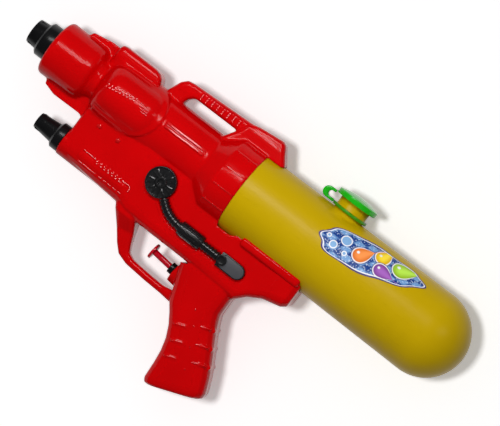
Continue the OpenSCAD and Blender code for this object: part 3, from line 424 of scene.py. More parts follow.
SURFACES = {}
for node, name, side in (("left_casing", "left_shell", 1), ("right_casing", "right_shell", -1)):
    half = soft_half(node, side)
    SURFACES[side] = BVHTree.FromBMesh(half)
    add_piece(half, name, "body", red_shell, [node], SHELL_CORNER)

# %% [markdown]
# The mould also has small sharp details: ribs round the collar, twin rails, ribs on the handle and ridges on the
# grip. The remesh melts those, so they go on again as bars with bevelled edges. A bar is a cube that is scaled,
# turned so that its top looks out of the casing, and bevelled. Its foot is sunk in the casing. The real ridges are
# wedges that lean toward the handle and so catch the light, and LEAN is the way their tops look.

# %% A raised bar and a raised dot
LEAN = Vector((0.01, 0.28, 0.96)).normalized()


def bar(bm, middle, along, out, size, edge=0.25, segments=2):
    out = Vector(out).normalized()
    across = out.cross(Vector(along)).normalized()
    turn = Matrix((across.cross(out), across, out)).transposed().to_4x4()
    place = Matrix.Translation(middle) @ turn @ Matrix.Diagonal((*size, 1))
    made = bmesh.ops.create_cube(bm, size=1.0, matrix=place)
    edges = list({e for v in made["verts"] for e in v.link_edges})
    bmesh.ops.bevel(bm, geom=edges, offset=edge, affect="EDGES", segments=segments, profile=0.5, material=-1)


def dot(bm, middle, radius, rise):
    place = Matrix.Translation(middle) @ Matrix.Diagonal((radius, radius, rise, 1))
    bmesh.ops.create_icosphere(bm, subdivisions=3, radius=1.0, matrix=place)


print("a bar's top looks toward", [round(c, 2) for c in LEAN])

# %% [markdown]
# The marks lie on round and sloping faces, and a mould would cut them to follow. A long mark is therefore laid as a
# row of short bars, and rays from the side drop each one on the casing's own surface, so that none hangs in the air.
# Some marks still have a melted foot there, so the surface on either side of it gives the level. A face that slopes
# away too steeply takes no mark.

# %% Marks that lie on the casing
SHORT_BAR, MARK_HEIGHT, MARK_SINK, BESIDE = 2.2, 1.7, 0.2, 2.3
RAY_START, STEEPEST = 60.0, 0.35


def seat(side, x, y):
    place, normal, _, _ = SURFACES[side].ray_cast(Vector((x, y, RAY_START * side)), SIDE * -side)
    if place is None or normal.z * side < STEEPEST:
        return None
    return Vector((x, y, place.z * side))


def lay(bm, side, x, y, along, run, width, edge=0.2):
    along = Vector((*along, 0.0)).normalized()
    across = SIDE.cross(along) * BESIDE
    count = math.ceil(run / SHORT_BAR)
    for i in range(count):
        middle = Vector((x, y, 0.0)) + along * run * ((i + 0.5) / count - 0.5)
        feet = [seat(side, *(middle + across * k).xy) for k in (-1, 0, 1)]
        if None not in feet:
            middle.z = min(feet[1].z, (feet[0].z + feet[2].z) / 2) - MARK_SINK
            bar(bm, middle, along, LEAN, (run / count, width, MARK_HEIGHT), edge)


def lay_dot(bm, side, x, y, sink, radius, rise):
    foot = seat(side, x, y)
    if foot is not None:
        dot(bm, foot - SIDE * sink, radius, rise)


print("the grip's face is at Z", round(seat(1, 25.0, -130.0).z, 2))

# %% [markdown]
# The collar round the tank's front has 14 ribs, and two rails run along the receiver toward it. Both sit on round
# bodies, so each bar is turned about the bore by its own angle, measured from the side toward the handle. Ribs that
# would lie on the seam or past it are left to the other half.

# %% Collar ribs and receiver rails
COLLAR_R, COLLAR_FRONT, COLLAR_REAR = 33.4, -18.6, -0.8
RIB_COUNT, RIB_START, RIB_WIDTH, RIB_RISE = 14, 0.35, 1.1, 0.6
RAIL_R, RAIL_FRONT, RAIL_REAR = 24.5, -73.0, -38.0
RAIL_ANGLES, RAIL_WIDTH, RAIL_RISE = (10.9, 18.3), 2.3, 1.15
LONG_HEIGHT, LONG_EDGE = 1.8, 0.3
CLEAR_OF_SEAM = 0.05


def long_bar(bm, angle, radius, front, rear, width, rise, top=None):
    out = Vector((0.0, math.sin(math.radians(angle)), math.cos(math.radians(angle))))
    middle = out * (radius + rise - LONG_HEIGHT / 2) + Vector(((front + rear) / 2, 0.0, 0.0))
    bar(bm, middle, (1, 0, 0), top or out, (rear - front, width, LONG_HEIGHT), LONG_EDGE)


def collar_and_rails(bm):
    angles = [-360.0 * (i + RIB_START) / RIB_COUNT for i in range(RIB_COUNT)]
    for angle in angles:
        if math.cos(math.radians(angle)) > CLEAR_OF_SEAM:
            long_bar(bm, angle, COLLAR_R, COLLAR_FRONT, COLLAR_REAR, RIB_WIDTH, RIB_RISE)
    for angle in RAIL_ANGLES:
        long_bar(bm, angle, RAIL_R, RAIL_FRONT, RAIL_REAR, RAIL_WIDTH, RAIL_RISE, LEAN)


print("collar:", RIB_COUNT, "ribs, receiver:", len(RAIL_ANGLES), "rails")

# %% [markdown]
# The grip has short ridges for the fingers and the palm and a line of small dots. They follow the grip's lean, so
# a point is given by how far down the grip it is and how far back from its front.

# %% Grip ridges and dots
GRIP_ROOT = Vector((5.0, -97.0, 0.0))
GRIP_DOWN = Vector((0.3584, -0.9336, 0.0))
GRIP_BACK = Vector((0.9336, 0.3584, 0.0))
FRONT_RIDGES, FRONT_RUN = ((15.0, 9.6), (27.3, 10.7), (39.6, 9.2)), 9.0
REAR_RIDGES, REAR_RUN = ((12.0, 29.2), (25.5, 29.5), (39.0, 30.4)), 7.2
RIDGE_UP, RIDGE_WIDTH = 0.7, 1.3
GRIP_DOTS = ((0.3, 22.2), (12.4, 24.5), (28.1, 26.2), (44.6, 27.0))
DOT_SINK, DOT_R, DOT_RISE = 0.1, 0.8, 0.55


def grip_at(down, back):
    return (GRIP_ROOT + GRIP_DOWN * down + GRIP_BACK * back).xy


def grip_details(bm, side):
    for ridges, run in ((FRONT_RIDGES, FRONT_RUN), (REAR_RIDGES, REAR_RUN)):
        for down, back in ridges:
            lay(bm, side, *grip_at(down - RIDGE_UP, back + run / 2), GRIP_BACK.xy, run, RIDGE_WIDTH)
    for down, back in GRIP_DOTS:
        lay_dot(bm, side, *grip_at(down, back), DOT_SINK, DOT_R, DOT_RISE)


print("grip:", len(FRONT_RIDGES) + len(REAR_RIDGES), "ridges and", len(GRIP_DOTS), "dots")

# %% [markdown]
# The carry handle has a ladder of fine ribs for the fingers. Each rung is three short wedges in a row, and a longer
# wedge lies along the bar at its upper end. The ladder climbs a little toward the rear, as the handle does.

# %% Handle ribs
RUNGS, RUNG_X, RUNG_Y = 8, -66.5, 37.3
RUNG_PITCH, RUNG_CLIMB, SHORT_WEDGE = 4.8, 0.2, 1.9
LONG_X, LONG_Y, LONG_WAY, LONG_WEDGE = 1.4, 3.2, (1, 0.04), 2.6
FINE_WIDTH, FINE_EDGE = 0.9, 0.12


def handle_details(bm, side):
    for i in range(RUNGS):
        x, y = RUNG_X + RUNG_PITCH * i, RUNG_Y + RUNG_CLIMB * i
        for k in (-1, 0, 1):
            lay(bm, side, x, y + k * SHORT_WEDGE, (0, 1), SHORT_WEDGE, FINE_WIDTH, FINE_EDGE)
        lay(bm, side, x + LONG_X, y + LONG_Y, LONG_WAY, LONG_WEDGE, FINE_WIDTH, FINE_EDGE)


print("handle:", RUNGS, "rungs")

# %% [markdown]
# The pod's side carries a row of plain slanted marks, each of two ribs, a lower and an upper one. Behind them lie
# strokes that get shorter from one to the next. A rib is given by its place from the mark's middle, its way, its
# run and its width.

# %% Pod marks
POD_MARKS, POD_X, POD_Y = 9, -125.5, 2.6
POD_PITCH, POD_CLIMB = 2.9, 0.5
POD_RIBS = ((0.0, -0.9, (0.45, 1), 2.2, 1.4), (0.9, 1.3, (0.1, 1), 2.0, 1.2))
POD_STROKES, STROKE_X, STROKE_Y = 4, -95.0, 7.4
STROKE_SHIFT, STROKE_DROP = 1.4, 1.7
STROKE_WAY, STROKE_RUN, STROKE_WIDTH = (1, 0.06), 9.0, 0.9


def pod_details(bm, side):
    for i in range(POD_MARKS):
        x, y = POD_X + POD_PITCH * i, POD_Y + POD_CLIMB * i
        for right, up, way, run, width in POD_RIBS:
            lay(bm, side, x + right, y + up, way, run, width)
    for i in range(POD_STROKES):
        x, y = STROKE_X + STROKE_SHIFT * i, STROKE_Y - STROKE_DROP * i
        lay(bm, side, x, y, STROKE_WAY, STROKE_RUN - i, STROKE_WIDTH)


print("pod:", POD_MARKS, "marks and", POD_STROKES, "strokes")

# %% [markdown]
# On the front panel, plain marks stand between an upper line, which ends in a hook, and a lower line that breaks up
# into dashes. All of them are rows of level bars. A row is given by its number of bars, where its first bar is, the
# step to the next, and the run and width of a bar. Two round studs stand above them.

# %% Panel lines
PANEL_FRONT, PANEL_TOP, PANEL_LOW = -113.7, -45.6, -55.8
PANEL_EDGE = 0.15
PANEL_ROWS = ((1, (7.0, PANEL_TOP - 1.2), (0.0, 0.0), 12.0, 1.0),
              (7, (14.6, PANEL_TOP - 2.0), (3.6, 0.0), 1.2, 1.5),
              (7, (15.6, PANEL_TOP - 3.6), (3.6, 0.0), 1.6, 1.3),
              (1, (42.3, PANEL_TOP - 1.6), (0.0, 0.0), 7.4, 1.2),
              (3, (46.4, PANEL_TOP - 2.6), (0.35, -1.3), 1.0, 1.6),
              (1, (10.5, PANEL_LOW), (0.0, 0.0), 17.0, 0.9),
              (5, (23.5, PANEL_LOW), (4.6, 0.0), 3.0, 0.9))
STUD_PITCH, STUD_Y = 17.7, -25.5
STUD_SINK, STUD_R, STUD_RISE = 0.6, 1.9, 1.5


def panel_details(bm, side):
    for count, (x, y), (step_x, step_y), run, width in PANEL_ROWS:
        for i in range(count):
            lay(bm, side, PANEL_FRONT + (x + step_x * i), y + step_y * i, (1, 0), run, width, PANEL_EDGE)
    for x in (PANEL_FRONT, PANEL_FRONT + STUD_PITCH):
        lay_dot(bm, side, x, STUD_Y, STUD_SINK, STUD_R, STUD_RISE)


print("panel:", sum(row[0] for row in PANEL_ROWS), "bars and two studs")

# %% [markdown]
# Both halves carry the same details, as mirror images. The right half's set is laid on its own surface as if it were
# a left half, and then turned over by a scale of -1 in Z. That also turns its faces inside out, so they are reversed.

# %% Details on both halves
def shell_details(side):
    bm = bmesh.new()
    collar_and_rails(bm)
    for add in (grip_details, handle_details, pod_details, panel_details):
        add(bm, side)
    if side < 0:
        bmesh.ops.scale(bm, vec=(1, 1, -1), verts=bm.verts)
        bmesh.ops.reverse_faces(bm, faces=bm.faces)
    return bm


add_piece(shell_details(1), "left_mouldings", "body", raised_red)
add_piece(shell_details(-1), "right_mouldings", "body", raised_red)

# %% [markdown]
# Along the tank, the tail's saddle ends in a thick rounded lip that hugs the bottle on each side. It is a long bar
# with a wide bevel that rises toward the rear, and it also hides where the two pieces meet.

# %% Saddle lips
LIP_X, LIP_Y, LIP_Z, LIP_CLIMB = 49.3, -27.9, 19.6, 0.045
LIP_SIZE, LIP_ROUND, LIP_STEPS = (53.5, 7.4, 6.0), 2.7, 5


def saddle_lips():
    bm = bmesh.new()
    for side in (1, -1):
        bar(bm, (LIP_X, LIP_Y, LIP_Z * side), (1, 0, LIP_CLIMB * side), SIDE * side, LIP_SIZE, LIP_ROUND, LIP_STEPS)
    return bm


add_piece(saddle_lips(), "saddle_lips", "body", red_shell)

# %% [markdown]
# The other rigid pieces keep the solids' forms, and only need what a tool leaves on plastic: a small rounding on
# each edge that catches the light. A copy is merged, its flat facets are joined, and the edges that turn by more
# than a set angle are bevelled.

# %% Rigid pieces with eased edges
FLAT_WITHIN, EASED_PAST = 0.5, 35.0


def eased_copy(node, width):
    bm = merged_copy(node)
    bmesh.ops.dissolve_limit(bm, angle_limit=math.radians(FLAT_WITHIN), verts=bm.verts, edges=bm.edges)
    edges = [e for e in bm.edges if e.is_manifold and e.calc_face_angle(0.0) > math.radians(EASED_PAST)]
    bmesh.ops.bevel(bm, geom=edges, offset=width, affect="EDGES", segments=2, profile=0.5, material=-1,
                    clamp_overlap=True)
    return bm


EASED = (("upper_nozzle", "nozzle_upper", "body", "black_trim", black_trim, 0.35),
         ("lower_nozzle", "nozzle_lower", "body", "black_trim", black_trim, 0.3),
         ("trigger_bush", "rod_bush", "body", "black_trim", black_trim, 0.3),
         ("hose_trim", "ribbed_trim", "body", "black_trim", satin_black, 0.25),
         ("trigger", "trigger_knob", "trigger", "red_shell", shaded_trigger_red, 0.3))
for node, name, body, slot, finish, width in EASED:
    add_piece(eased_copy(node, width), name, body, finish, [node])

# %% [markdown]
# The strap is soft. On the toy its lower leg stays with the ring, its upper leg goes with the stopper, and it bends
# between them when the stopper is lifted. The copy is cut across there, because a long face can't bend.

# %% Strap
STRAP_EASE = 0.6
STRAP_CUTS, FIRST_CUT, CUT_STEP = 10, 35.5, 0.7


def strap():
    bm = eased_copy("cap_strap", STRAP_EASE)
    for k in range(STRAP_CUTS):
        bmesh.ops.bisect_plane(bm, geom=whole(bm), plane_co=(0, FIRST_CUT + CUT_STEP * k, 0), plane_no=(0, 1, 0))
    return bm


made = add_piece(strap(), "stopper_strap", None, green_plastic, ["cap_strap"])
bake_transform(made)

# %% [markdown]
# The return spring in the pump keeps its CAD coil, on a mesh of its own. On the toy it is pressed together from its
# front as the trigger is pulled, to about half of its length; its rear end stands still, and the length that is left
# follows from the trigger's travel.

coil = merged_copy("return_spring")
made = add_piece(coil, "return_coil", "body", steel, ["return_spring"])
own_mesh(made)

# %% [markdown]
# The stopper, its ring and the dial are round, and a solid's copy would show its facets. They are turned instead:
# half of the section is drawn as a line of points and spun round. The corners of the section are bevelled afterwards,
# where the spun edge loops are easy to find by their angle.

# %% A turned piece
TURNED_STEPS, TURNED_MERGE, TURNED_CORNER = 72, 0.001, 40.0


def turned(section, axis, middle, ease):
    bm = bmesh.new()
    points = [bm.verts.new((r, 0, h) if axis == SIDE else (r, h, 0)) for r, h in section]
    line = [bm.edges.new(pair) for pair in zip(points, points[1:])]
    bmesh.ops.spin(bm, geom=points + line, cent=(0, 0, 0), axis=axis, angle=math.tau, steps=TURNED_STEPS,
                   use_merge=True)
    bmesh.ops.remove_doubles(bm, verts=bm.verts, dist=TURNED_MERGE)
    bmesh.ops.recalc_face_normals(bm, faces=bm.faces)
    corners = [e for e in bm.edges if e.is_manifold and e.calc_face_angle(0.0) > math.radians(TURNED_CORNER)]
    bmesh.ops.bevel(bm, geom=corners, offset=ease, affect="EDGES", segments=3, profile=0.5, material=-1)
    bmesh.ops.translate(bm, vec=middle, verts=bm.verts)
    return bm


print("a turned piece has", TURNED_STEPS, "steps round")

# %% [markdown]
# The stopper is a domed disc with a hollow plug under it, drawn from the middle of its top round to the middle of
# its underside. The ring lies round the filler neck, so its section is a closed loop that stands off the axis.

# %% Stopper and ring
UP_NECK, FILLER_X = Vector((0.0, 1.0, 0.0)), 72.0
STOPPER_R, STOPPER_EDGE, STOPPER_TOP, STOPPER_ROOF = 17.0, 4.0, 6.5, 0.6
PLUG_R, PLUG_BORE, PLUG_LEN = 10.3, 9.2, 9.0
STOPPER_Y, STOPPER_EASE, DOME_STEPS = 42.75, 0.35, 8
RING_BORE, RING_R, RING_HEIGHT = 12.75, 15.0, 2.4
RING_Y, RING_EASE = 33.9, 0.5

shares = [k / DOME_STEPS for k in range(DOME_STEPS + 1)]
dome = [(STOPPER_R * share, STOPPER_TOP - (STOPPER_TOP - STOPPER_EDGE) * share ** 2) for share in shares]
plug = [(STOPPER_R, 0.0), (PLUG_R, 0.0), (PLUG_R, -PLUG_LEN), (PLUG_BORE, -PLUG_LEN), (PLUG_BORE, STOPPER_ROOF),
        (0.0, STOPPER_ROOF)]
add_piece(turned(dome + plug, UP_NECK, (FILLER_X, STOPPER_Y, 0), STOPPER_EASE), "stopper", "stopper",
          green_plastic, ["fill_cap"])
ring = [(RING_BORE, 0.0), (RING_BORE, RING_HEIGHT), (RING_R, RING_HEIGHT), (RING_R, 0.0), (RING_BORE, 0.0)]
add_piece(turned(ring, UP_NECK, (FILLER_X, RING_Y, 0), RING_EASE), "stopper_ring", "body",
          olive_plastic, ["cap_ring"])

# %% [markdown]
# The dial on the panel is a moulded dummy knob: a thin rim, a sunk face with a fan of slanted vanes, and a hub with a
# dimple. Its body is turned about Z, and each vane is a bar whose top is tilted to one side, so that neighbours
# catch the light differently.

# %% Dial
DIAL, DIAL_EASE = Vector((-50.7, -30.3, 0.0)), 0.12
DIAL_SECTION = ((0.0, 21.7), (1.9, 21.9), (2.3, 22.95), (4.0, 22.95), (4.6, 22.25), (10.6, 22.25), (11.0, 23.0),
                (11.6, 23.0), (12.0, 22.6), (12.0, 18.05), (1.8, 18.05), (1.8, 15.8), (0.0, 15.8))
VANES, VANE_START, VANE_TILT = 14, 0.3, 0.3
VANE_R, VANE_Z, VANE_SIZE, VANE_EDGE = 7.5, 22.2, (5.2, 1.5, 0.9), 0.15


def dial():
    bm = turned(DIAL_SECTION, SIDE, DIAL, DIAL_EASE)
    for i in range(VANES):
        angle = math.tau * (i + VANE_START) / VANES
        spoke = Vector((math.cos(angle), math.sin(angle), 0.0))
        top = SIDE + spoke.cross(SIDE) * VANE_TILT * (1 if i % 2 else -1)
        bar(bm, DIAL + spoke * VANE_R + SIDE * VANE_Z, spoke, top, VANE_SIZE, VANE_EDGE)
    return bm


add_piece(dial(), "dial", "body", satin_black, ["side_dial"])

# %% [markdown]
# The tank is a thin blown bottle. Its wall is already right in the solid, but its long flat strips would bend the
# shading near the dome, because a strip has points only at its ends. Cutting the copy across every few millimetres
# gives the shading points to hold on to.

# %% Tank
DOME_X, SHOULDER_HALF, SHOULDER_MERGE = 169.2, 1.0, 0.2
TANK_CUTS = [2.0, 5.0, 10.0] + [20.0 * k for k in range(1, 8)] + [144.0 + 3.0 * k for k in range(9)]
TANK_CORNER = 30.0


def bottle():
    bm = merged_copy("tank")
    shoulder = [v for v in bm.verts if DOME_X - SHOULDER_HALF < v.co.x < DOME_X + SHOULDER_HALF]
    bmesh.ops.remove_doubles(bm, verts=shoulder, dist=SHOULDER_MERGE)
    for x in TANK_CUTS:
        bmesh.ops.bisect_plane(bm, geom=whole(bm), plane_co=(x, 0, 0), plane_no=(1, 0, 0))
    return bm


add_piece(bottle(), "bottle", "body", tank_yellow, ["tank"], TANK_CORNER)

# %% [markdown]
# The hose's end plate is a grey inlay inside a black rim. It is a flat stadium shape: a circle whose two halves
# are pulled apart, given a thickness and bevelled round its top.

# %% Grey inlay of the end plate
PLATE_TILT = math.radians(-0.5)
PLATE_MIDDLE = Vector((28.4, -48.4, 21.55))
PLATE_HALF, PLATE_STRAIGHT, PLATE_THICK, PLATE_EASE = 5.0, 5.7, 0.3, 0.12
PLATE_POINTS = 48


def plate_inlay():
    bm = bmesh.new()
    bmesh.ops.create_circle(bm, cap_ends=True, radius=PLATE_HALF, segments=PLATE_POINTS)
    for v in bm.verts:
        v.co.x += math.copysign(PLATE_STRAIGHT, v.co.x)
    solid = bmesh.ops.extrude_face_region(bm, geom=bm.faces[:])
    raised = [g for g in solid["geom"] if isinstance(g, bmesh.types.BMVert)]
    bmesh.ops.translate(bm, vec=(0, 0, PLATE_THICK), verts=raised)
    bmesh.ops.recalc_face_normals(bm, faces=bm.faces)
    top = [e for e in bm.edges if all(v.co.z > PLATE_THICK / 2 for v in e.verts) and len(e.link_faces) == 2]
    bmesh.ops.bevel(bm, geom=top, offset=PLATE_EASE, affect="EDGES", segments=2, profile=0.5, material=-1)
    place = Matrix.Translation(PLATE_MIDDLE) @ Matrix.Rotation(PLATE_TILT, 4, "Z")
    bmesh.ops.transform(bm, matrix=place, verts=bm.verts)
    return bm


add_piece(plate_inlay(), "plate_inlay", "body", grey_plate)

# %% [markdown]
# What is left is inside, and keeps its CAD mesh. Only the finishes change.

# %% Inner pieces
INNER = {"casing_screws": steel, "inlet_ball": steel, "outlet_ball": steel,
         "piston_seal": black_rubber, "tank_bung": black_trim, "pump_cylinder": clear_plastic,
         "inlet_valve": clear_plastic, "outlet_valve": clear_plastic, "hose_tee": clear_plastic,
         "feed_hose": clear_hose, "dip_tube": clear_hose, "delivery_hose": clear_hose, "upper_hose": clear_hose,
         "lower_hose": clear_hose}
for node, finish in INNER.items():
    nodes[node].data.materials.clear()
    nodes[node].data.materials.append(finish)
print("inner pieces:", len(INNER), "with their finishes")

# %% [markdown]
# A printed label sits on the tank. It is a thin vinyl sheet with a wavy outline, which is an oval whose radius swells
# and shrinks with two sine waves. The same sum serves the mesh, on numbers, and later the print, on wires.

# %% Label outline
LABEL_HALF_L, LABEL_HALF_W = 42.5, 14.5
LABEL_WAVES = ((0.035, 8.0, 2.2), (0.04, 3.0, 1.6))


def label_swell(angle, sine):
    swell = 1.0
    for height, count, start in LABEL_WAVES:
        swell = swell + height * sine(count * angle + start)
    return swell


def label_outline(vert):
    angle = math.atan2(vert.co.y, vert.co.x)
    flat = Vector((LABEL_HALF_L * math.cos(angle), LABEL_HALF_W * math.sin(angle), 0.0))
    vert.co = flat * label_swell(angle, math.sin)


print("label: about", 2 * LABEL_HALF_L, "by", 2 * LABEL_HALF_W, "mm")

# %% [markdown]
# The sheet is rolled onto the bottle, a little askew. It starts flat, as a circle pulled to the outline, and is cut
# into narrow strips that run along the tank, so that it can bend. Its UV map keeps the flat position in millimetres,
# and each point is then wrapped round the tank, which widens toward its dome.

# %% Label sheet
LABEL_X, LABEL_ANGLE, LABEL_TURN = 106.6, math.radians(37.0), math.radians(13.0)
LABEL_LIFT, LABEL_THICK = 0.25, 0.15
LABEL_POINTS, LABEL_UV = 180, 100.0
STRIP, STRIPS_ASIDE = 0.95, 24
TANK_FRONT_R, TANK_FLARE, TANK_STRAIGHT = 32.5, 1.3, 169.0


def rolled_on(flat):
    askew = Matrix.Rotation(LABEL_TURN, 3, "Z") @ flat
    x = LABEL_X + askew.x
    radius = TANK_FRONT_R + TANK_FLARE * min(x, TANK_STRAIGHT) / TANK_STRAIGHT
    angle = LABEL_ANGLE + askew.y / radius
    return Vector((x, math.sin(angle) * (radius + LABEL_LIFT), math.cos(angle) * (radius + LABEL_LIFT)))


def label_sheet():
    bm = bmesh.new()
    bmesh.ops.create_circle(bm, cap_ends=True, radius=1.0, segments=LABEL_POINTS)
    for v in bm.verts:
        label_outline(v)
    round_tank = Vector((math.sin(LABEL_TURN), math.cos(LABEL_TURN), 0.0))
    for i in range(-STRIPS_ASIDE, STRIPS_ASIDE + 1):
        bmesh.ops.bisect_plane(bm, geom=whole(bm), plane_co=round_tank * STRIP * i, plane_no=round_tank)
    prints = bm.loops.layers.uv.new("print")
    for face in bm.faces:
        for corner in face.loops:
            corner[prints].uv = corner.vert.co.xy / LABEL_UV + Vector((0.5, 0.5))
    for v in bm.verts:
        v.co = rolled_on(v.co)
    bmesh.ops.recalc_face_normals(bm, faces=bm.faces)
    bmesh.ops.solidify(bm, geom=bm.faces[:], thickness=LABEL_THICK)
    return bm


print("label: cut into strips of", STRIP, "mm")

# %% [markdown]
# The print shows coloured water drops flying out of a splash, with bubbles. A drop is the distance from its centre,
# with the part toward its tip drawn out: across the drop, the width shrinks there with a cosine. Its colour is paler
# in the middle, and it has a glint and a ring of two lines. Each line fades over the short span that is given.

# %% A printed drop
VIOLET, PALE, GLINT = (0.06, 0.045, 0.19, 1), (0.80, 0.80, 0.83, 1), (0.85, 0.86, 0.85, 1)
TIP_LENGTH, TIP_WIDTH = 2.1, 0.03
VIOLET_RING, PALE_RING, DROP_EDGE = (1.5, 1.2), (1.0, 0.7), (0.1, -0.2)
GLINT_LEFT, GLINT_UP, GLINT_EDGE = 0.35, 0.3, (0.26, 0.14)
PALER_TIMES, PALER_PLUS, PALER_SPAN = 1.7, 0.05, (0.1, 1.1)


def distance(x, y):
    return (x ** 2.0 + y ** 2.0) ** 0.5


def drop_distance(x, y, radius, angle):
    turn = math.radians(angle)
    tipward = x * math.cos(turn) + y * math.sin(turn)
    aside = y * math.cos(turn) - x * math.sin(turn)
    taper = (tipward.larger(0.0) * (math.pi / (2 * TIP_LENGTH * radius)) + math.pi / 2).wave().larger(TIP_WIDTH)
    return distance(aside / taper, tipward.smaller(0.0))


def paint_drop(finish, colour, x, y, radius, angle, tint):
    away = drop_distance(x, y, radius, angle)
    paler = tuple(min(1.0, c * PALER_TIMES + PALER_PLUS) for c in tint)
    inked = finish.mix((away / radius).fade(*PALER_SPAN), (*paler, 1), (*tint, 1))
    glint = distance(x + radius * GLINT_LEFT, y - radius * GLINT_UP)
    inked = finish.mix(glint.fade(*(radius * share for share in GLINT_EDGE)), inked, GLINT)
    for span, ink in ((VIOLET_RING, VIOLET), (PALE_RING, PALE), (DROP_EDGE, inked)):
        colour = finish.mix(away.fade(*(radius + out for out in span)), colour, ink)
    return colour


print("a drop's tip is", TIP_LENGTH, "times as far out as its round end")

# %% [markdown]
# Drops and bubbles are painted over one another with Mix nodes, on a rippled blue with pale specks. A drop is given by
# its place, radius, the way its tip points and its colour. The border is a pale and a violet line, drawn by the
# distance to the sheet's own wavy outline.

# %% Label print
DROPS = ((24.0, 2.0, 6.6, 20.0, (0.28, 0.48, 0.02)), (8.0, 4.5, 5.4, 60.0, (0.75, 0.42, 0.0)),
         (10.0, -6.0, 5.2, -15.0, (0.20, 0.05, 0.28)), (-8.0, -2.0, 5.6, 40.0, (0.72, 0.16, 0.02)))
BUBBLES = ((-21.0, 4.0, 4.6), (-29.0, -3.0, 3.4), (-19.0, -6.0, 2.2), (-34.5, 2.5, 2.0))
DEEP_BLUE, WAVE_BLUE = (0.006, 0.045, 0.24, 1), (0.16, 0.33, 0.62, 1)
SPECK_BLUE, BUBBLE_BLUE = (0.62, 0.72, 0.85, 1), (0.22, 0.42, 0.7, 1)
SPECK_SCALE, SPECK_SPAN, SPECK_SHARE = 70.0, (0.56, 0.62), 0.6
BUBBLE_RIM, BUBBLE_FADE = 0.9, 0.3
VIOLET_EDGE, PALE_EDGE, EDGE_FADE = 1.3, 2.3, 0.2
SCUFF_SCALE, SCUFF_SPREAD = 40.0, 0.12


def inside_outline(x, y):
    wide, high = x / LABEL_HALF_L, y / LABEL_HALF_W
    rim = distance(wide, high) / label_swell(high.maths("ARCTAN2", high, wide), Wire.wave)
    return distance(x, y) * (1.0 - rim) / rim


def label_print():
    finish = Finish("label_print")
    flat = finish.node("ShaderNodeUVMap", {"uv_map": "print"}, {})
    x = (finish.node("ShaderNodeSeparateXYZ", {}, {"Vector": flat}, "X") - 0.5) * LABEL_UV
    y = (finish.node("ShaderNodeSeparateXYZ", {}, {"Vector": flat}, "Y") - 0.5) * LABEL_UV
    ripple = ((x * 0.55 + y * 0.25).wave() + (y * 0.9 - x * 0.2).wave()).fade(-0.6, 0.9)
    colour = finish.mix(ripple, DEEP_BLUE, WAVE_BLUE)
    specks = finish.noise(flat, SPECK_SCALE, 2.0).fade(*SPECK_SPAN)
    colour = finish.mix(specks * SPECK_SHARE, colour, SPECK_BLUE)
    for bubble_x, bubble_y, radius in BUBBLES:
        away = distance(x - bubble_x, y - bubble_y)
        for reach, ink in ((radius, PALE), (radius - BUBBLE_RIM, BUBBLE_BLUE)):
            colour = finish.mix(away.fade(reach, reach - BUBBLE_FADE), colour, ink)
    for drop_x, drop_y, radius, angle, tint in DROPS:
        colour = paint_drop(finish, colour, x - drop_x, y - drop_y, radius, angle, tint)
    inward = inside_outline(x, y)
    colour = finish.mix(inward.fade(PALE_EDGE, PALE_EDGE - EDGE_FADE), colour, PALE)
    colour = finish.mix(inward.fade(VIOLET_EDGE, VIOLET_EDGE - EDGE_FADE), colour, VIOLET)
    scuffs = finish.noise(flat, SCUFF_SCALE)
    finish.surface(Base_Color=colour, Roughness=0.24 + scuffs * SCUFF_SPREAD, Specular_IOR_Level=0.15)
    return finish.material


add_piece(label_sheet(), "tank_label", "body", label_print())

# %% [markdown]
# The toy lies on white paper, which keeps its shadow. What the camera and reflections see of the paper is a brighter
# white, with a small share that glows at a strength of 1, and the toy itself is lit by a plainer one.

# %% Paper floor
FLOOR_HALF = 6.0
PLAIN_WHITE, SEEN_WHITE, GLOW_SHARE = (0.75, 0.75, 0.75, 1), (2.05, 2.05, 2.05, 1), 0.25


def white_paper():
    paper = Finish("white_paper")
    seen = 0.0
    for way in ("Is Camera Ray", "Is Glossy Ray", "Is Transmission Ray"):
        seen = paper.node("ShaderNodeLightPath", {}, {}, way) + seen
    paper.surface(Base_Color=paper.mix(seen, PLAIN_WHITE, SEEN_WHITE), Roughness=0.9, Specular_IOR_Level=0.0)
    plain = Wire(paper, paper.shader.outputs[0])
    glow = paper.node("ShaderNodeEmission", {}, {"Color": (1, 1, 1, 1), "Strength": 1.0})
    lit = paper.node("ShaderNodeMixShader", {}, {0: seen * GLOW_SHARE, 1: plain, 2: glow})
    paper.plug(paper.tree.nodes["Material Output"].inputs["Surface"], lit)
    return paper.material


def paper_floor():
    bm = bmesh.new()
    bmesh.ops.create_grid(bm, x_segments=1, y_segments=1, size=FLOOR_HALF)
    mesh = bpy.data.meshes.new("floor")
    bm.to_mesh(mesh)
    bm.free()
    mesh.materials.append(white_paper())
    made = bpy.data.objects.new("floor", mesh)
    bpy.context.scene.collection.objects.link(made)
    return made


floor = paper_floor()
print("paper floor laid")

# %% [markdown]
# Three lamps light the toy. The one overhead throws the short soft shadow. The long softbox beyond the handle models
# the round bodies and draws the pale streaks along them, and a narrow one to the right picks out rounded edges. Only
# these two show in gloss. Light linking keeps them off the floor, so that there is one shadow. A lamp is given by its
# way from the toy, in metres, its watts and its size, and all of them look at the toy's middle.

# %% Lamps
PHOTO_RIGHT = Vector((0.7934, 0.6088, 0.0))
PHOTO_UP = Vector((-0.6088, 0.7934, 0.0))
TOY_MIDDLE = Vector((0.0, 0.0, 0.03))
OVERHEAD_FAR, OVERHEAD_LEAN = 2.5, math.radians(6.0)


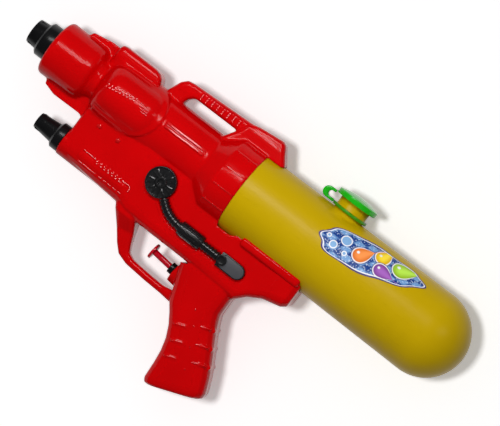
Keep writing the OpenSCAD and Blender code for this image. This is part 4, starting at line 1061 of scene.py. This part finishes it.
def lamp(name, offset, watts, size, shines=True):
    data = bpy.data.lights.new(name, "AREA")
    data.shape = "RECTANGLE"
    data.size, data.size_y = size
    data.energy = watts
    light = bpy.data.objects.new(name, data)
    light.location = TOY_MIDDLE + offset
    light.rotation_euler = (-offset).to_track_quat("-Z", "Y").to_euler()
    light.visible_glossy = shines
    bpy.context.scene.collection.objects.link(light)
    return light


upper_left = (PHOTO_UP * 0.54 - PHOTO_RIGHT * 0.84).normalized()
overhead_way = math.sin(OVERHEAD_LEAN) * upper_left + SIDE * math.cos(OVERHEAD_LEAN)
lamp("overhead", OVERHEAD_FAR * overhead_way, 22.0, (0.3, 0.3), shines=False)
softbox = lamp("softbox", Vector((-0.133, 0.339, 0.6)), 2.7, (0.38, 0.14))
edge = lamp("edge", PHOTO_RIGHT * 1.1 + SIDE * 0.9, 1.4, (0.06, 0.4))

off_floor = bpy.data.collections.new("off_floor")
off_floor.objects.link(floor)
for light in (softbox, edge):
    light.light_linking.receiver_collection = off_floor
off_floor.collection_objects[0].light_linking.link_state = "EXCLUDE"
print("lamps: overhead, softbox and edge")

# %% [markdown]
# An even white sky fills the shadows, and the Standard view shows colours as they are written.

# %% Sky
SKY_WHITE, SKY_STRENGTH = (1.0, 1.0, 1.0, 1), 0.16

world = bpy.data.worlds.new("studio")
world.use_nodes = True
sky = world.node_tree.nodes["Background"]
sky.inputs["Color"].default_value = SKY_WHITE
sky.inputs["Strength"].default_value = SKY_STRENGTH
bpy.context.scene.world = world
bpy.context.scene.view_settings.view_transform = "Standard"
print("sky: white at", SKY_STRENGTH)

# %% [markdown]
# The camera looks almost straight down from far away, with a long lens, turned so that the toy points to the
# upper left.

# %% Camera
LENS_MM, SENSOR_MM, SEES_TO = 237.0, 36.0, 50.0
CAMERA_AT, CAMERA_TURN = (0.3093, 0.22625, 2.4386), (0.85, 8.24, 37.43)

lens = bpy.data.cameras.new("camera")
lens.lens = LENS_MM
lens.sensor_width = SENSOR_MM
lens.clip_end = SEES_TO
camera = bpy.data.objects.new("camera", lens)
camera.location = CAMERA_AT
camera.rotation_euler = tuple(math.radians(a) for a in CAMERA_TURN)
bpy.context.scene.collection.objects.link(camera)
bpy.context.scene.camera = camera
print("camera: a", LENS_MM, "mm lens from", CAMERA_AT[2], "m up")
